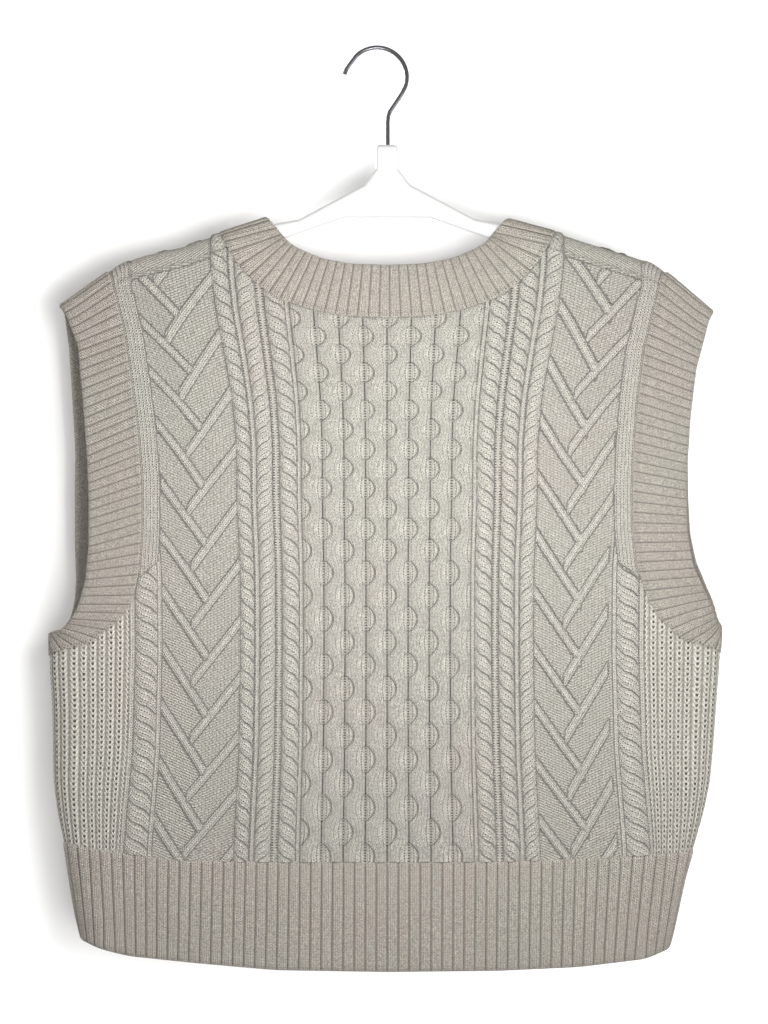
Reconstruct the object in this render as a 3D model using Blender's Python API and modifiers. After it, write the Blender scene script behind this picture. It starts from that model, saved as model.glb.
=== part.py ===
"""A knitted sweater vest with rib bands, hanging on a plain slim hanger.

Metres, +Z up.  The origin is the inside of the hook's crown, where a rail carries it.
The back of the vest faces -Y and its front faces +Y.  The cloth is a flattened tube:
each piece is drawn flat, as (across, height) in millimetres from the vest's centre line,
then laid on the tube, where it turns round the sides and over the shoulders.
"""
import math
from collections import namedtuple

import bmesh
import bpy
from mathutils import Vector
from mathutils.geometry import delaunay_2d_cdt

MM = 0.001

# Cloth: one thickness of cable knit, and the space between two pieces at a seam.
WALL = 3.0
SEAM_GAP = 0.8
SIDE_GAP = 0.8
CENTRE_X = 7.0

# The tube of cloth: how far round it bends at the sides and over the hanger.
SIDE_RADIUS = 20.0
SIDE_ARC = 27.0
SHOULDER_RADIUS = 8.5
SHOULDER_QUARTER = SHOULDER_RADIUS * math.pi / 2
SHOULDER_EXTRA = SHOULDER_QUARTER - SHOULDER_RADIUS
SHOULDER_SEAM = SHOULDER_QUARTER + 4.0
CURVE_OF_BACK = 0.18
HALF_WIDTH = 230.0
SIDE_FLAT = 1.12
SIDE_TURNS = (0.3, 0.6, 0.9)
RIDGE_STEPS = 3

# Facets of the panels.
GRID = 25.0
CLEAR_OF_OUTLINE = 5.0
CLEAR_OF_EDGE = 1.4
SHOULDER_COLUMNS = (121.0, 132.0, 143.0, 157.0, 171.0, 178.0, 186.0)

# Slim hanger and its wire hook.
HANGER_THICKNESS = 8.4
HANGER_EDGE = 3.2
HANGER_UNDER_CLOTH = 1.6
HANGER_LAST_ROW = 175.0
HANGER_REACH = 182.0
HANGER_TIP_DROP = 2.5
HANGER_TIP_HEIGHT = 9.0
HANGER_HUB_TOP = -67.0
HANGER_HUB_WIDTH = 16.0
HOOK_X = 7.5
HOOK_WIRE = 3.0
HOOK_RADIUS = 21.0
HOOK_STEPS = 16

BACK = -1
FRONT = 1
LEFT = -1
RIGHT = 1

# Top line of the shoulders, where the cloth turns from back to front.
Shoulder = namedtuple("Shoulder", "across left right")
SHOULDERS = [
    Shoulder(84.5, -118.0, -119.0),
    Shoulder(121.0, -130.0, -128.8),
    Shoulder(143.0, -137.8, -136.0),
    Shoulder(171.0, -144.2, -144.5),
    Shoulder(186.0, -149.5, -149.6),
    Shoulder(201.0, -159.7, -160.4),
    Shoulder(230.0, -180.3, -185.2),
]

# Outside of the tube at its sides, from the lower corners up.
Side = namedtuple("Side", "height left right")
SIDES = [
    Side(-646.0, 208.0, 192.0),
    Side(-624.0, 214.2, 199.5),
    Side(-607.0, 218.4, 203.2),
    Side(-582.0, 222.6, 208.6),
    Side(-556.0, 226.5, 216.0),
    Side(-537.6, 230.6, 221.5),
    Side(-514.5, 233.8, 226.5),
    Side(-488.0, 234.3, 228.9),
    Side(-459.0, 234.8, 231.0),
    Side(-433.0, 236.7, 233.1),
    Side(-410.0, 236.7, 234.3),
    Side(-230.0, 236.7, 236.7),
]

# Half the tube's depth, by how far a point lies below the top of the shoulders.
Depth = namedtuple("Depth", "drop half")
DEPTHS = [
    Depth(SHOULDER_RADIUS, SHOULDER_RADIUS),
    Depth(60.0, 11.5),
    Depth(130.0, 14.0),
    Depth(220.0, 16.5),
    Depth(300.0, 17.5),
    Depth(400.0, 17.0),
    Depth(530.0, 15.5),
]

# Upper seam and lower edge of the hem rib.
HemLine = namedtuple("HemLine", "across left right")
HEM_SEAM = [
    HemLine(0.0, -569.0, -569.0),
    HemLine(78.0, -569.0, -568.8),
    HemLine(140.0, -568.4, -566.8),
    HemLine(190.0, -562.2, -563.7),
    HemLine(227.0, -555.8, -560.0),
]
HEM_EDGE = [
    HemLine(0.0, -646.0, -646.0),
    HemLine(78.0, -644.7, -645.2),
    HemLine(134.0, -639.8, -642.6),
    HemLine(181.0, -634.9, -637.0),
    HemLine(205.0, -629.0, -629.0),
    HemLine(215.0, -624.5, -624.5),
]
HEM_STATIONS = (0.0, 0.14, 0.28, 0.42, 0.56, 0.70, 0.84, 1.0)
HEM_ROWS = 2

# Neckband at the back: its free edge and the seam to the panel, from centre to shoulder.
Band = namedtuple("Band", "edge_across edge_height seam_across seam_height")
NECK_BACK = [
    Band(0.0, -151.7, 0.0, -189.0),
    Band(25.5, -150.9, 31.0, -187.4),
    Band(45.0, -147.3, 57.0, -182.0),
    Band(59.0, -141.6, 78.0, -174.7),
    Band(67.5, -136.9, 92.0, -164.5),
    Band(72.5, -131.8, 103.0, -153.5),
    Band(77.5, -125.9, 111.0, -142.0),
    Band(84.5, -118.4, 118.5, -128.8),
]
NECK_BACK_AT_SHOULDER = 5

# Neckband at the front: half ovals from the same shoulder points, further down.
NECK_FRONT_EDGE_DROP = 86.0
NECK_FRONT_SEAM_DROP = 110.0
NECK_FRONT_ANGLES = (0, 4, 8, 12, 20, 34, 48, 62, 76, 90)
NECK_FRONT_AT_SHOULDER = 4

# Armbands: free edge and seam, from the shoulder to the underarm; at_front is how much
# further out the front layer hangs.
Arm = namedtuple("Arm", "edge_across edge_height seam_across seam_height at_front")
ARM_LEFT = [
    Arm(230.3, -180.5, 196.0, -156.3, 0.0),
    Arm(225.4, -185.2, 191.1, -169.4, 2.0),
    Arm(216.3, -209.3, 184.1, -197.4, 8.0),
    Arm(213.2, -242.9, 179.2, -228.9, 9.0),
    Arm(210.0, -282.8, 174.3, -267.4, 10.0),
    Arm(208.6, -315.0, 171.5, -302.4, 12.0),
    Arm(208.6, -347.9, 171.5, -337.4, 12.0),
    Arm(210.7, -372.4, 173.6, -368.9, 9.0),
    Arm(214.9, -387.8, 177.8, -387.8, 6.0),
    Arm(220.8, -399.7, 188.3, -401.1, 3.0),
    Arm(228.9, -407.4, 207.9, -416.5, 1.0),
    Arm(236.7, -410.2, 236.7, -426.3, 0.0),
]
ARM_RIGHT = [
    Arm(229.6, -184.9, 196.0, -156.8, 0.0),
    Arm(222.6, -198.1, 186.0, -180.0, 0.0),
    Arm(216.5, -225.0, 180.0, -211.0, 0.0),
    Arm(212.5, -257.0, 175.5, -245.0, 1.0),
    Arm(210.3, -289.0, 172.8, -280.0, 2.0),
    Arm(209.7, -315.0, 171.5, -309.0, 3.0),
    Arm(210.0, -338.0, 171.8, -338.0, 4.0),
    Arm(213.5, -360.0, 174.5, -362.0, 5.0),
    Arm(220.5, -376.0, 180.0, -380.0, 5.0),
    Arm(226.5, -388.0, 189.0, -398.0, 4.0),
    Arm(231.0, -399.7, 206.0, -414.0, 2.0),
    Arm(234.3, -408.1, 234.3, -424.0, 0.0),
]
ARM_AT_SHOULDER = 2
ARM_LAST_TURNS = (0.5, 0.925)
BAND_COLUMNS = 3


def between(rows, at, column):
    """Value of a table's column at a place in its first column, on straight lines."""
    if rows[0][0] > rows[-1][0]:
        rows = rows[::-1]
    at = min(max(at, rows[0][0]), rows[-1][0])
    for low, high in zip(rows, rows[1:]):
        if at <= high[0]:
            share = (at - low[0]) / (high[0] - low[0])
            return low[column] + share * (high[column] - low[column])
    return rows[-1][column]


def column_of(side):
    """Column of a table that holds the left or the right value."""
    return 1 if side < 0 else 2


def shoulder_line(across):
    """Height of the shoulder's top line, as drawn flat."""
    side = LEFT if across < 0 else RIGHT
    return between(SHOULDERS, abs(across), column_of(side)) + SHOULDER_EXTRA


def side_start(height, side):
    """Distance from the centre line at which the cloth starts to turn round the side."""
    return between(SIDES, height, column_of(side)) - SIDE_RADIUS


def drop_of(across, height):
    """How far a flat point lies below the shoulder line, along the cloth."""
    return shoulder_line(across) - height


def lay_flat(across, height, side):
    """Flat place of a point that is given as seen from the front."""
    start = side_start(height, side)
    flat_across = across
    if across > start:
        sine = min((across - start) / SIDE_RADIUS, 1.0)
        turn = math.asin(sine) / (SIDE_FLAT if sine < 1.0 else 1.0)
        flat_across = start + SIDE_ARC * turn / (math.pi / 2)
    line = shoulder_line(side * across)
    below = line - SHOULDER_EXTRA - height
    flat_height = height
    if below < SHOULDER_RADIUS:
        turn = math.acos(1.0 - max(below, 0.0) / SHOULDER_RADIUS)
        flat_height = line - SHOULDER_RADIUS * turn
    return side * flat_across, flat_height


def on_cloth(across, height, layer):
    """Point of the outer face for a flat place on the back or front layer."""
    side = LEFT if across < 0 else RIGHT
    start = side_start(height, side)
    out = abs(across)
    turn = 0.0
    if out > start:
        turn = min((out - start) / SIDE_ARC, 1.0) * math.pi / 2
        out = start + SIDE_RADIUS * math.sin(min(SIDE_FLAT * turn, math.pi / 2))
    line = shoulder_line(side * out)
    drop = line - height
    facing = layer if drop > 0 else -layer
    drop = abs(drop)
    if drop < SHOULDER_QUARTER:
        angle = drop / SHOULDER_RADIUS
        rise = line - SHOULDER_EXTRA - SHOULDER_RADIUS * (1.0 - math.cos(angle))
        half = SHOULDER_RADIUS * math.sin(angle)
    else:
        rise = line - drop
        bow = 1.0 - CURVE_OF_BACK * (out / HALF_WIDTH) ** 2
        below = drop - SHOULDER_EXTRA
        half = SHOULDER_RADIUS + (between(DEPTHS, below, 1) - SHOULDER_RADIUS) * bow
    half *= math.cos(turn)
    return Vector((CENTRE_X + side * out, facing * half, rise)) * MM


def mix(first, second, share):
    """Point a share of the way from one flat point to another."""
    return tuple(a + (b - a) * share for a, b in zip(first, second))


def at_drop(line, drop):
    """Place on a flat line, drawn from the shoulder down, at a given drop."""
    for first, second in zip(line, line[1:]):
        low, high = drop_of(*first), drop_of(*second)
        if low <= drop <= high:
            return mix(first, second, (drop - low) / (high - low))
    return line[0]


def over_shoulder(point):
    """The same point as drawn on the other layer, past the shoulder line."""
    across, height = point
    return across, 2.0 * shoulder_line(across) - height


def ridge_drops(last):
    """Drops of the rows that bend over the shoulder, down to the last one."""
    steps = [SHOULDER_QUARTER * i / RIDGE_STEPS for i in range(RIDGE_STEPS + 1)]
    return steps + ([last] if last > steps[-1] else [])


def band_stations(edge, seam, rows_at_shoulder, last_drop):
    """Pairs of free edge and seam from the shoulder line down one layer of a band."""
    drops = ridge_drops(last_drop)
    stations = [(at_drop(edge, drop), at_drop(seam, drop)) for drop in drops]
    return stations + list(zip(edge, seam))[rows_at_shoulder:]


def arm_stations(rows, side, layer):
    """Stations of an armband on one layer, from the shoulder to the side."""
    out = 1.0 if layer == FRONT else 0.0
    edge = []
    seam = []
    for row in rows:
        shift = out * row.at_front
        limit = side_start(row.edge_height, side) + SIDE_RADIUS
        edge.append(lay_flat(min(row.edge_across + shift, limit), row.edge_height, side))
        seam.append(lay_flat(min(row.seam_across + shift, limit), row.seam_height, side))
    turning = [(mix(edge[-2], edge[-1], s), mix(seam[-2], seam[-1], s)) for s in ARM_LAST_TURNS]
    stations = band_stations(edge, seam, ARM_AT_SHOULDER, SHOULDER_SEAM)
    return stations[:-1] + turning + stations[-1:]


def neck_back_stations(side):
    """Stations of the neckband on the back, from the shoulder to the centre."""
    rows = NECK_BACK[::-1]
    edge = [lay_flat(row.edge_across, row.edge_height, side) for row in rows]
    seam = [lay_flat(row.seam_across, row.seam_height, side) for row in rows]
    skipped = len(rows) - 1 - NECK_BACK_AT_SHOULDER
    return band_stations(edge, seam, skipped, SHOULDER_SEAM)


def neck_front_stations(side):
    """Stations of the neckband on the front, from the shoulder to the centre."""
    top = NECK_BACK[-1]
    edge = []
    seam = []
    for degrees in NECK_FRONT_ANGLES:
        angle = math.radians(degrees)
        edge_height = top.edge_height - NECK_FRONT_EDGE_DROP * math.sin(angle)
        seam_height = top.seam_height - NECK_FRONT_SEAM_DROP * math.sin(angle)
        edge.append(lay_flat(top.edge_across * math.cos(angle), edge_height, side))
        seam.append(lay_flat(top.seam_across * math.cos(angle), seam_height, side))
    return band_stations(edge, seam, NECK_FRONT_AT_SHOULDER, SHOULDER_QUARTER)


def side_across(share, height, side):
    """Flat distance for a share of the flat width, or past 1 of the turn at the side."""
    start = side_start(height, side)
    if share <= 1.0:
        return side * share * start
    return side * (start + SIDE_ARC * (share - 1.0))


def side_edge_share():
    """Share at which a piece stops, half a seam's gap short of the side."""
    depth = between(DEPTHS, 300.0, 1)
    return 2.0 - math.asin(0.5 * SIDE_GAP / depth) / (math.pi / 2)


def hem_points(table, side):
    """Points of a hem line from the centre to one side."""
    shares = list(HEM_STATIONS) + [1.0 + turn for turn in SIDE_TURNS] + [side_edge_share()]
    points = []
    for share in shares:
        height = table[0].left
        for _ in range(3):
            seen = min(share, 1.0) * side_start(height, side)
            if share > 1.0:
                bend = min(SIDE_FLAT * (share - 1.0) * math.pi / 2, math.pi / 2)
                seen += SIDE_RADIUS * math.sin(bend)
            height = between(table, seen, column_of(side))
        points.append((side_across(share, height, side), height))
    return points


def whole_hem_line(table):
    """Points of a hem line from the left side to the right side."""
    return hem_points(table, LEFT)[::-1] + hem_points(table, RIGHT)[1:]


def make_object(name, mesh, material, collection):
    """Object of a mesh in the vest's collection."""
    mesh.materials.append(material)
    thing = bpy.data.objects.new(name, mesh)
    collection.objects.link(thing)
    return thing


def make_material(name, colour, roughness, metallic):
    """Plain Principled material."""
    material = bpy.data.materials.new(name)
    material.use_nodes = True
    shader = material.node_tree.nodes["Principled BSDF"]
    shader.inputs["Base Color"].default_value = (*colour, 1.0)
    shader.inputs["Roughness"].default_value = roughness
    shader.inputs["Metallic"].default_value = metallic
    return material


def thicken(thing):
    """Give an outer face of cloth its wall, inward."""
    wall = thing.modifiers.new("Wall", 'SOLIDIFY')
    wall.thickness = WALL * MM
    wall.offset = -1.0
    wall.use_even_offset = True


def cloth_mesh(name, points, faces, turned):
    """Triangle mesh of an outer face of cloth; turned swaps which way it looks."""
    shape = bmesh.new()
    corners = [shape.verts.new(point) for point in points]
    for face in faces:
        order = face[::-1] if turned else face
        shape.faces.new([corners[i] for i in order])
    bmesh.ops.triangulate(shape, faces=shape.faces[:])
    mesh = bpy.data.meshes.new(name)
    shape.to_mesh(mesh)
    shape.free()
    return mesh


def inside(point, outline):
    """Whether a flat point lies inside an outline."""
    x, y = point
    found = False
    for (ax, ay), (bx, by) in zip(outline, outline[1:] + outline[:1]):
        if (ay > y) != (by > y) and x < ax + (y - ay) / (by - ay) * (bx - ax):
            found = not found
    return found


def distance_to(point, outline):
    """Distance from a flat point to an outline."""
    nearest = math.inf
    spot = Vector(point)
    for first, second in zip(outline, outline[1:] + outline[:1]):
        start = Vector(first)
        along = Vector(second) - start
        share = max(0.0, min(1.0, (spot - start).dot(along) / along.length_squared))
        nearest = min(nearest, (spot - start - along * share).length)
    return nearest


def inner_points(outline, highest_drop):
    """Flat points inside a panel: a grid, columns round each side, rows over the shoulders."""
    grid = []
    edges = []
    low = min(height for _, height in outline)
    rows = int((max(height for _, height in outline) - low) / GRID)
    for row in range(1, rows + 1):
        height = low + row * GRID
        for side in (LEFT, RIGHT):
            count = int(side_start(height, side) / GRID)
            shares = [i / count for i in range(1 if side == RIGHT else 0, count + 1)]
            grid += [(side_across(share, height, side), height) for share in shares]
    for across, height in outline:
        side = LEFT if across < 0 else RIGHT
        if abs(across - side_across(side_edge_share(), height, side)) < CLEAR_OF_EDGE:
            edges += [(side_across(1.0 + turn, height, side), height) for turn in SIDE_TURNS]
    for drop in [-d for d in ridge_drops(0)[1:]] + ridge_drops(SHOULDER_SEAM):
        if drop >= highest_drop:
            for column in SHOULDER_COLUMNS:
                edges += [(a, shoulder_line(a) - drop) for a in (-column, column)]
    grid = [point for point in grid if drop_of(*point) > SHOULDER_SEAM + GRID / 3]
    kept = []
    for points, clear in ((grid, CLEAR_OF_OUTLINE), (edges, CLEAR_OF_EDGE)):
        for point in points:
            if inside(point, outline) and distance_to(point, outline) > clear:
                kept.append(point)
    return kept


def panel(name, outline, layer, highest_drop, material, collection):
    """Panel of cloth inside a flat outline, laid on one layer of the tube."""
    count = len(outline)
    spots = [Vector(point) for point in outline + inner_points(outline, highest_drop)]
    flat, _, faces, *_ = delaunay_2d_cdt(spots, [], [list(range(count))], 1, 1e-5)
    points = [on_cloth(spot.x, spot.y, layer) for spot in flat]
    mesh = cloth_mesh(name, points, faces, layer == FRONT)
    thicken(make_object(name, mesh, material, collection))


def strip(name, stations, closed, columns, turned, material, collection):
    """Band of cloth through stations, each a layer with its free edge and its seam."""
    points = []
    for layer, edge, seam in stations:
        length = math.dist(edge, seam)
        for column in range(columns + 1):
            share = column / columns * (1.0 - SEAM_GAP / length)
            points.append(on_cloth(*mix(edge, seam, share), layer))
    width = columns + 1
    faces = []
    for i in range(len(stations) if closed else len(stations) - 1):
        here, after = i * width, (i + 1) % len(stations) * width
        for column in range(columns):
            a, b = here + column, after + column
            faces.append((a, b, b + 1, a + 1))
    mesh = cloth_mesh(name, points, faces, turned)
    thicken(make_object(name, mesh, material, collection))


def on_layer(layer, stations):
    """Stations marked with the layer that they lie on."""
    return [(layer, edge, seam) for edge, seam in stations]


def panel_arm_seam(rows, side, layer):
    """Seam points of an armhole for a panel, from its underarm corner up to the shoulder."""
    stations = arm_stations(rows, side, layer)
    seam = [seam for _, seam in stations]
    height = seam[-1][1]
    corner = (side_across(side_edge_share(), height, side), height)
    return [corner] + seam[-2::-1]


def shoulder_seam_points(side, drop):
    """Points along a shoulder seam at one drop, from the neck to the armhole."""
    return [(side * a, shoulder_line(side * a) - drop) for a in SHOULDER_COLUMNS]


def side_edge_points(side):
    """Points up the side edge of a panel, between the hem and the underarm."""
    heights = [row.height for row in SIDES if -550.0 < row.height < -430.0]
    return [(side_across(side_edge_share(), height, side), height) for height in heights]


def back_outline():
    """Flat outline of the back, all round from the hem's left end."""
    left_arm = panel_arm_seam(ARM_LEFT, LEFT, BACK)[:-RIDGE_STEPS - 1]
    right_arm = panel_arm_seam(ARM_RIGHT, RIGHT, BACK)[:-RIDGE_STEPS - 1]
    left_neck = [seam for _, seam in neck_back_stations(LEFT)][RIDGE_STEPS + 1:]
    right_neck = [seam for _, seam in neck_back_stations(RIGHT)][RIDGE_STEPS + 1:]
    right_seam = shoulder_seam_points(RIGHT, SHOULDER_SEAM)
    left_seam = shoulder_seam_points(LEFT, SHOULDER_SEAM)
    outline = whole_hem_line(HEM_SEAM) + side_edge_points(RIGHT) + right_arm
    outline += right_seam[::-1] + right_neck + left_neck[-2::-1]
    return outline + left_seam + left_arm[::-1] + side_edge_points(LEFT)[::-1]


def wrapped_end(back_stations, front_seam):
    """Front seam from below up over the shoulder to its end on the back."""
    over = [over_shoulder(seam) for _, seam in back_stations[1:RIDGE_STEPS + 2]]
    across, height = over[-1]
    over[-1] = (across, height - SEAM_GAP)
    return front_seam + over


def front_outline():
    """Flat outline of the front, whose top edges lie over the shoulders, on the back."""
    arms = {}
    necks = {}
    for side, rows in ((LEFT, ARM_LEFT), (RIGHT, ARM_RIGHT)):
        arms[side] = wrapped_end(arm_stations(rows, side, BACK), panel_arm_seam(rows, side, FRONT))
        front_neck = [seam for _, seam in neck_front_stations(side)][::-1]
        necks[side] = wrapped_end(neck_back_stations(side), front_neck)
    end_drop = SEAM_GAP - SHOULDER_SEAM
    right_seam = shoulder_seam_points(RIGHT, end_drop)
    left_seam = shoulder_seam_points(LEFT, end_drop)
    outline = whole_hem_line(HEM_SEAM) + side_edge_points(RIGHT) + arms[RIGHT]
    outline += right_seam[::-1] + necks[RIGHT][::-1] + necks[LEFT][1:]
    return outline + left_seam + arms[LEFT][::-1] + side_edge_points(LEFT)[::-1]


def ring(back, front):
    """Stations of a band all round, down the back and up the front."""
    return on_layer(BACK, back) + on_layer(FRONT, front[1:-1][::-1])


def make_armband(name, rows, side, material, collection):
    """Rib band round one armhole, over the shoulder and under the arm."""
    stations = ring(arm_stations(rows, side, BACK), arm_stations(rows, side, FRONT))
    strip(name, stations, True, BAND_COLUMNS, side == RIGHT, material, collection)


def make_neckband(material, collection):
    """Rib band all round the neck."""
    back = neck_back_stations(LEFT) + neck_back_stations(RIGHT)[-2::-1]
    front = neck_front_stations(LEFT) + neck_front_stations(RIGHT)[-2::-1]
    strip("neckband", ring(back, front), True, BAND_COLUMNS, True, material, collection)


def make_hem(name, layer, material, collection):
    """Deep rib along the bottom of one layer."""
    edges = whole_hem_line(HEM_EDGE)
    seams = whole_hem_line(HEM_SEAM)
    stations = [(layer, edge, seam) for edge, seam in zip(edges, seams)]
    strip(name, stations, False, HEM_ROWS, layer == FRONT, material, collection)


def hanger_outline():
    """Right half of the hanger's outline, from the hub's top out to the tip and back under."""
    hub = HANGER_HUB_WIDTH / 2
    below_cloth = WALL + HANGER_UNDER_CLOTH
    tip = between(SHOULDERS, HANGER_REACH, 1) - below_cloth - HANGER_TIP_DROP
    outline = [(hub, HANGER_HUB_TOP), (hub, -84.0), (hub + 8.0, -95.0), (62.0, -119.5)]
    for row in SHOULDERS:
        if row.across < HANGER_LAST_ROW:
            outline.append((row.across, min(row.left, row.right) - below_cloth))
    outline += [(HANGER_REACH, tip), (HANGER_REACH - 2.0, tip - HANGER_TIP_HEIGHT)]
    return outline + [(121.0, -148.0), (84.5, -137.0), (30.0, -118.0)]


def make_hanger_body(material, collection):
    """Slim hanger: a flat slab under the shoulders with a hub, its edges rounded."""
    half = hanger_outline()
    outline = half + [(-across, height) for across, height in half[::-1]]
    face_y = -HANGER_THICKNESS / 2
    shape = bmesh.new()
    corners = [shape.verts.new(Vector((CENTRE_X + a, face_y, h)) * MM) for a, h in outline[::-1]]
    shape.faces.new(corners)
    mesh = bpy.data.meshes.new("hanger_body")
    shape.to_mesh(mesh)
    shape.free()
    body = make_object("hanger_body", mesh, material, collection)
    slab = body.modifiers.new("Slab", 'SOLIDIFY')
    slab.thickness = HANGER_THICKNESS * MM
    slab.offset = -1.0
    rounding = body.modifiers.new("Rounded edges", 'BEVEL')
    rounding.width = HANGER_EDGE * MM
    rounding.segments = 3
    rounding.limit_method = 'ANGLE'
    rounding.angle_limit = math.radians(60)


def hook_route():
    """Centre line of the wire: tip, round the crown, then back to the stem above the hub."""
    centre_height = HOOK_WIRE / 2 - HOOK_RADIUS
    route = [(-22.8, -17.4), (-19.0, -10.4)]
    start, end = math.radians(132), math.radians(-20)
    for step in range(HOOK_STEPS + 1):
        angle = start + (end - start) * step / HOOK_STEPS
        x = HOOK_RADIUS * math.cos(angle)
        route.append((x, centre_height + HOOK_RADIUS * math.sin(angle)))
    route += [(18.0, -30.2), (14.6, -35.6), (10.7, -41.2), (8.8, -44.2), (7.8, -47.2)]
    return route + [(HOOK_X, -51.0), (HOOK_X, HANGER_HUB_TOP + 0.3)]


def make_hook(material, collection):
    """Wire hook standing on the hanger's hub."""
    curve = bpy.data.curves.new("hanger_hook", 'CURVE')
    curve.dimensions = '3D'
    curve.bevel_depth = HOOK_WIRE / 2 * MM
    curve.bevel_resolution = 2
    curve.use_fill_caps = True
    route = hook_route()
    spline = curve.splines.new('POLY')
    spline.points.add(len(route) - 1)
    for point, (x, height) in zip(spline.points, route):
        point.co = (x * MM, 0.0, height * MM, 1.0)
    curve.materials.append(material)
    collection.objects.link(bpy.data.objects.new("hanger_hook", curve))


def build():
    """Clear the scene and make every piece of the vest and its hanger."""
    for thing in list(bpy.data.objects):
        bpy.data.objects.remove(thing, do_unlink=True)
    collection = bpy.data.collections.new("knitted sweater vest on a hanger")
    bpy.context.scene.collection.children.link(collection)
    knit = make_material("cable knit", (0.52, 0.48, 0.42), 0.92, 0.0)
    rib = make_material("rib knit", (0.49, 0.45, 0.39), 0.92, 0.0)
    white = make_material("white plastic", (0.88, 0.88, 0.87), 0.45, 0.0)
    steel = make_material("dark steel", (0.16, 0.16, 0.17), 0.25, 1.0)
    back_top = SHOULDER_SEAM + 1.0
    panel("back_panel", back_outline(), BACK, back_top, knit, collection)
    panel("front_panel", front_outline(), FRONT, -SHOULDER_QUARTER - 0.1, knit, collection)
    make_neckband(rib, collection)
    make_armband("armband_left", ARM_LEFT, LEFT, rib, collection)
    make_armband("armband_right", ARM_RIGHT, RIGHT, rib, collection)
    make_hem("hem_back", BACK, rib, collection)
    make_hem("hem_front", FRONT, rib, collection)
    make_hanger_body(white, collection)
    make_hook(steel, collection)


build()
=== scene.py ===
"""Looks of a cable-knit sweater vest with rib bands, hanging on a plain slim hanger.

The back of the vest faces -Y.  Knit pieces are worked out in millimetres on the flat cloth
and laid on the hanging tube, where it turns round the sides and over the shoulders.
"""
import math

import bmesh
import bpy
import numpy as np
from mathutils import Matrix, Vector
from mathutils.geometry import delaunay_2d_cdt


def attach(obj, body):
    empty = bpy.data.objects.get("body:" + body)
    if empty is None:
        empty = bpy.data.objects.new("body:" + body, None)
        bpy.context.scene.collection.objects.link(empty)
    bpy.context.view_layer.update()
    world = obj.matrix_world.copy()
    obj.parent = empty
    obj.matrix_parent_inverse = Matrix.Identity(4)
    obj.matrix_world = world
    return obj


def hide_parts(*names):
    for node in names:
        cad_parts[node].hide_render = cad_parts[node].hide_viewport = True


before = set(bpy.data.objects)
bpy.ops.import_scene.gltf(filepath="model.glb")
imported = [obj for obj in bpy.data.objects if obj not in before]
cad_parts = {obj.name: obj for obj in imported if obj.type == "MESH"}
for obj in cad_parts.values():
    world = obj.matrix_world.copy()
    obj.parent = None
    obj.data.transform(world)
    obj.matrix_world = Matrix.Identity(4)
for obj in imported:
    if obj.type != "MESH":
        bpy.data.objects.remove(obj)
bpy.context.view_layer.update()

# ---------------------------------------------------------------------------------------
# The camera, straight on to the back of the vest at the distance of a standing person, and
# level with its middle.
# ---------------------------------------------------------------------------------------
CAMERA_DISTANCE = 2.4
VIEW_HEIGHT = 0.7168
VIEW_CENTRE = (0.0049, -0.008, -0.3248)

camera_data = bpy.data.cameras.new("camera")
camera_data.sensor_width = 36.0
camera_data.lens = 36.0 * CAMERA_DISTANCE / VIEW_HEIGHT
camera = bpy.data.objects.new("camera", camera_data)
camera.location = (VIEW_CENTRE[0], VIEW_CENTRE[1] - CAMERA_DISTANCE, VIEW_CENTRE[2])
camera.rotation_euler = (math.pi / 2, 0.0, 0.0)
bpy.context.collection.objects.link(camera)
bpy.context.scene.camera = camera

# ---------------------------------------------------------------------------------------
# The form that the cloth hangs in: a flattened tube that turns over the hanger's arms at
# the shoulders and round an easy bend at each side.  Sizes are in millimetres.
# ---------------------------------------------------------------------------------------
MM = 0.001
BACK, FRONT = -1, 1
LEFT, RIGHT = -1, 1
CENTRE_X = 7.0
SIDE_RADIUS = 20.0
SIDE_ARC = 27.0
SIDE_FLAT = 1.12
SHOULDER_RADIUS = 8.5
SHOULDER_QUARTER = SHOULDER_RADIUS * math.pi / 2
SHOULDER_EXTRA = SHOULDER_QUARTER - SHOULDER_RADIUS
SHOULDER_SEAM = SHOULDER_QUARTER + 4.0
CURVE_OF_BACK = 0.18
HALF_WIDTH = 230.0
SLOPE_STEP = 0.4

SHOULDER_ACROSS = [84.5, 121.0, 143.0, 171.0, 186.0, 201.0, 230.0]
SHOULDER_TOPS = {
    LEFT: [-118.0, -130.0, -137.8, -144.2, -149.5, -159.7, -180.3],
    RIGHT: [-119.0, -128.8, -136.0, -144.5, -149.6, -160.4, -185.2],
}
SIDE_HEIGHTS = [
    -646.0, -624.0, -607.0, -582.0, -556.0, -537.6, -514.5, -488.0, -459.0, -433.0, -410.0, -230.0
]
SIDE_OUTS = {
    LEFT: [208.0, 214.2, 218.4, 222.6, 226.5, 230.6, 233.8, 234.3, 234.8, 236.7, 236.7, 236.7],
    RIGHT: [192.0, 199.5, 203.2, 208.6, 216.0, 221.5, 226.5, 228.9, 231.0, 233.1, 234.3, 236.7],
}
DROPS = [8.5, 60.0, 130.0, 220.0, 300.0, 400.0, 530.0]
HALF_DEPTHS = [8.5, 11.5, 14.0, 16.5, 17.5, 17.0, 15.5]


def eased(places, values, reach):
    """Curve through a table, its corners rounded over a reach and its ends carried on."""
    fine = np.arange(places[0] - 4 * reach, places[-1] + 4 * reach, 0.5)
    line = np.interp(fine, places, values)
    weight = np.hanning(int(4 * reach) | 1)
    soft = np.convolve(np.pad(line, len(weight) // 2, mode="edge"), weight / weight.sum(), "valid")
    return lambda at: np.interp(at, fine, soft)


shoulder_top = {side: eased(SHOULDER_ACROSS, SHOULDER_TOPS[side], 6.0) for side in (LEFT, RIGHT)}
side_out = {side: eased(SIDE_HEIGHTS, SIDE_OUTS[side], 14.0) for side in (LEFT, RIGHT)}
half_depth = eased(DROPS, HALF_DEPTHS, 20.0)


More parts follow.
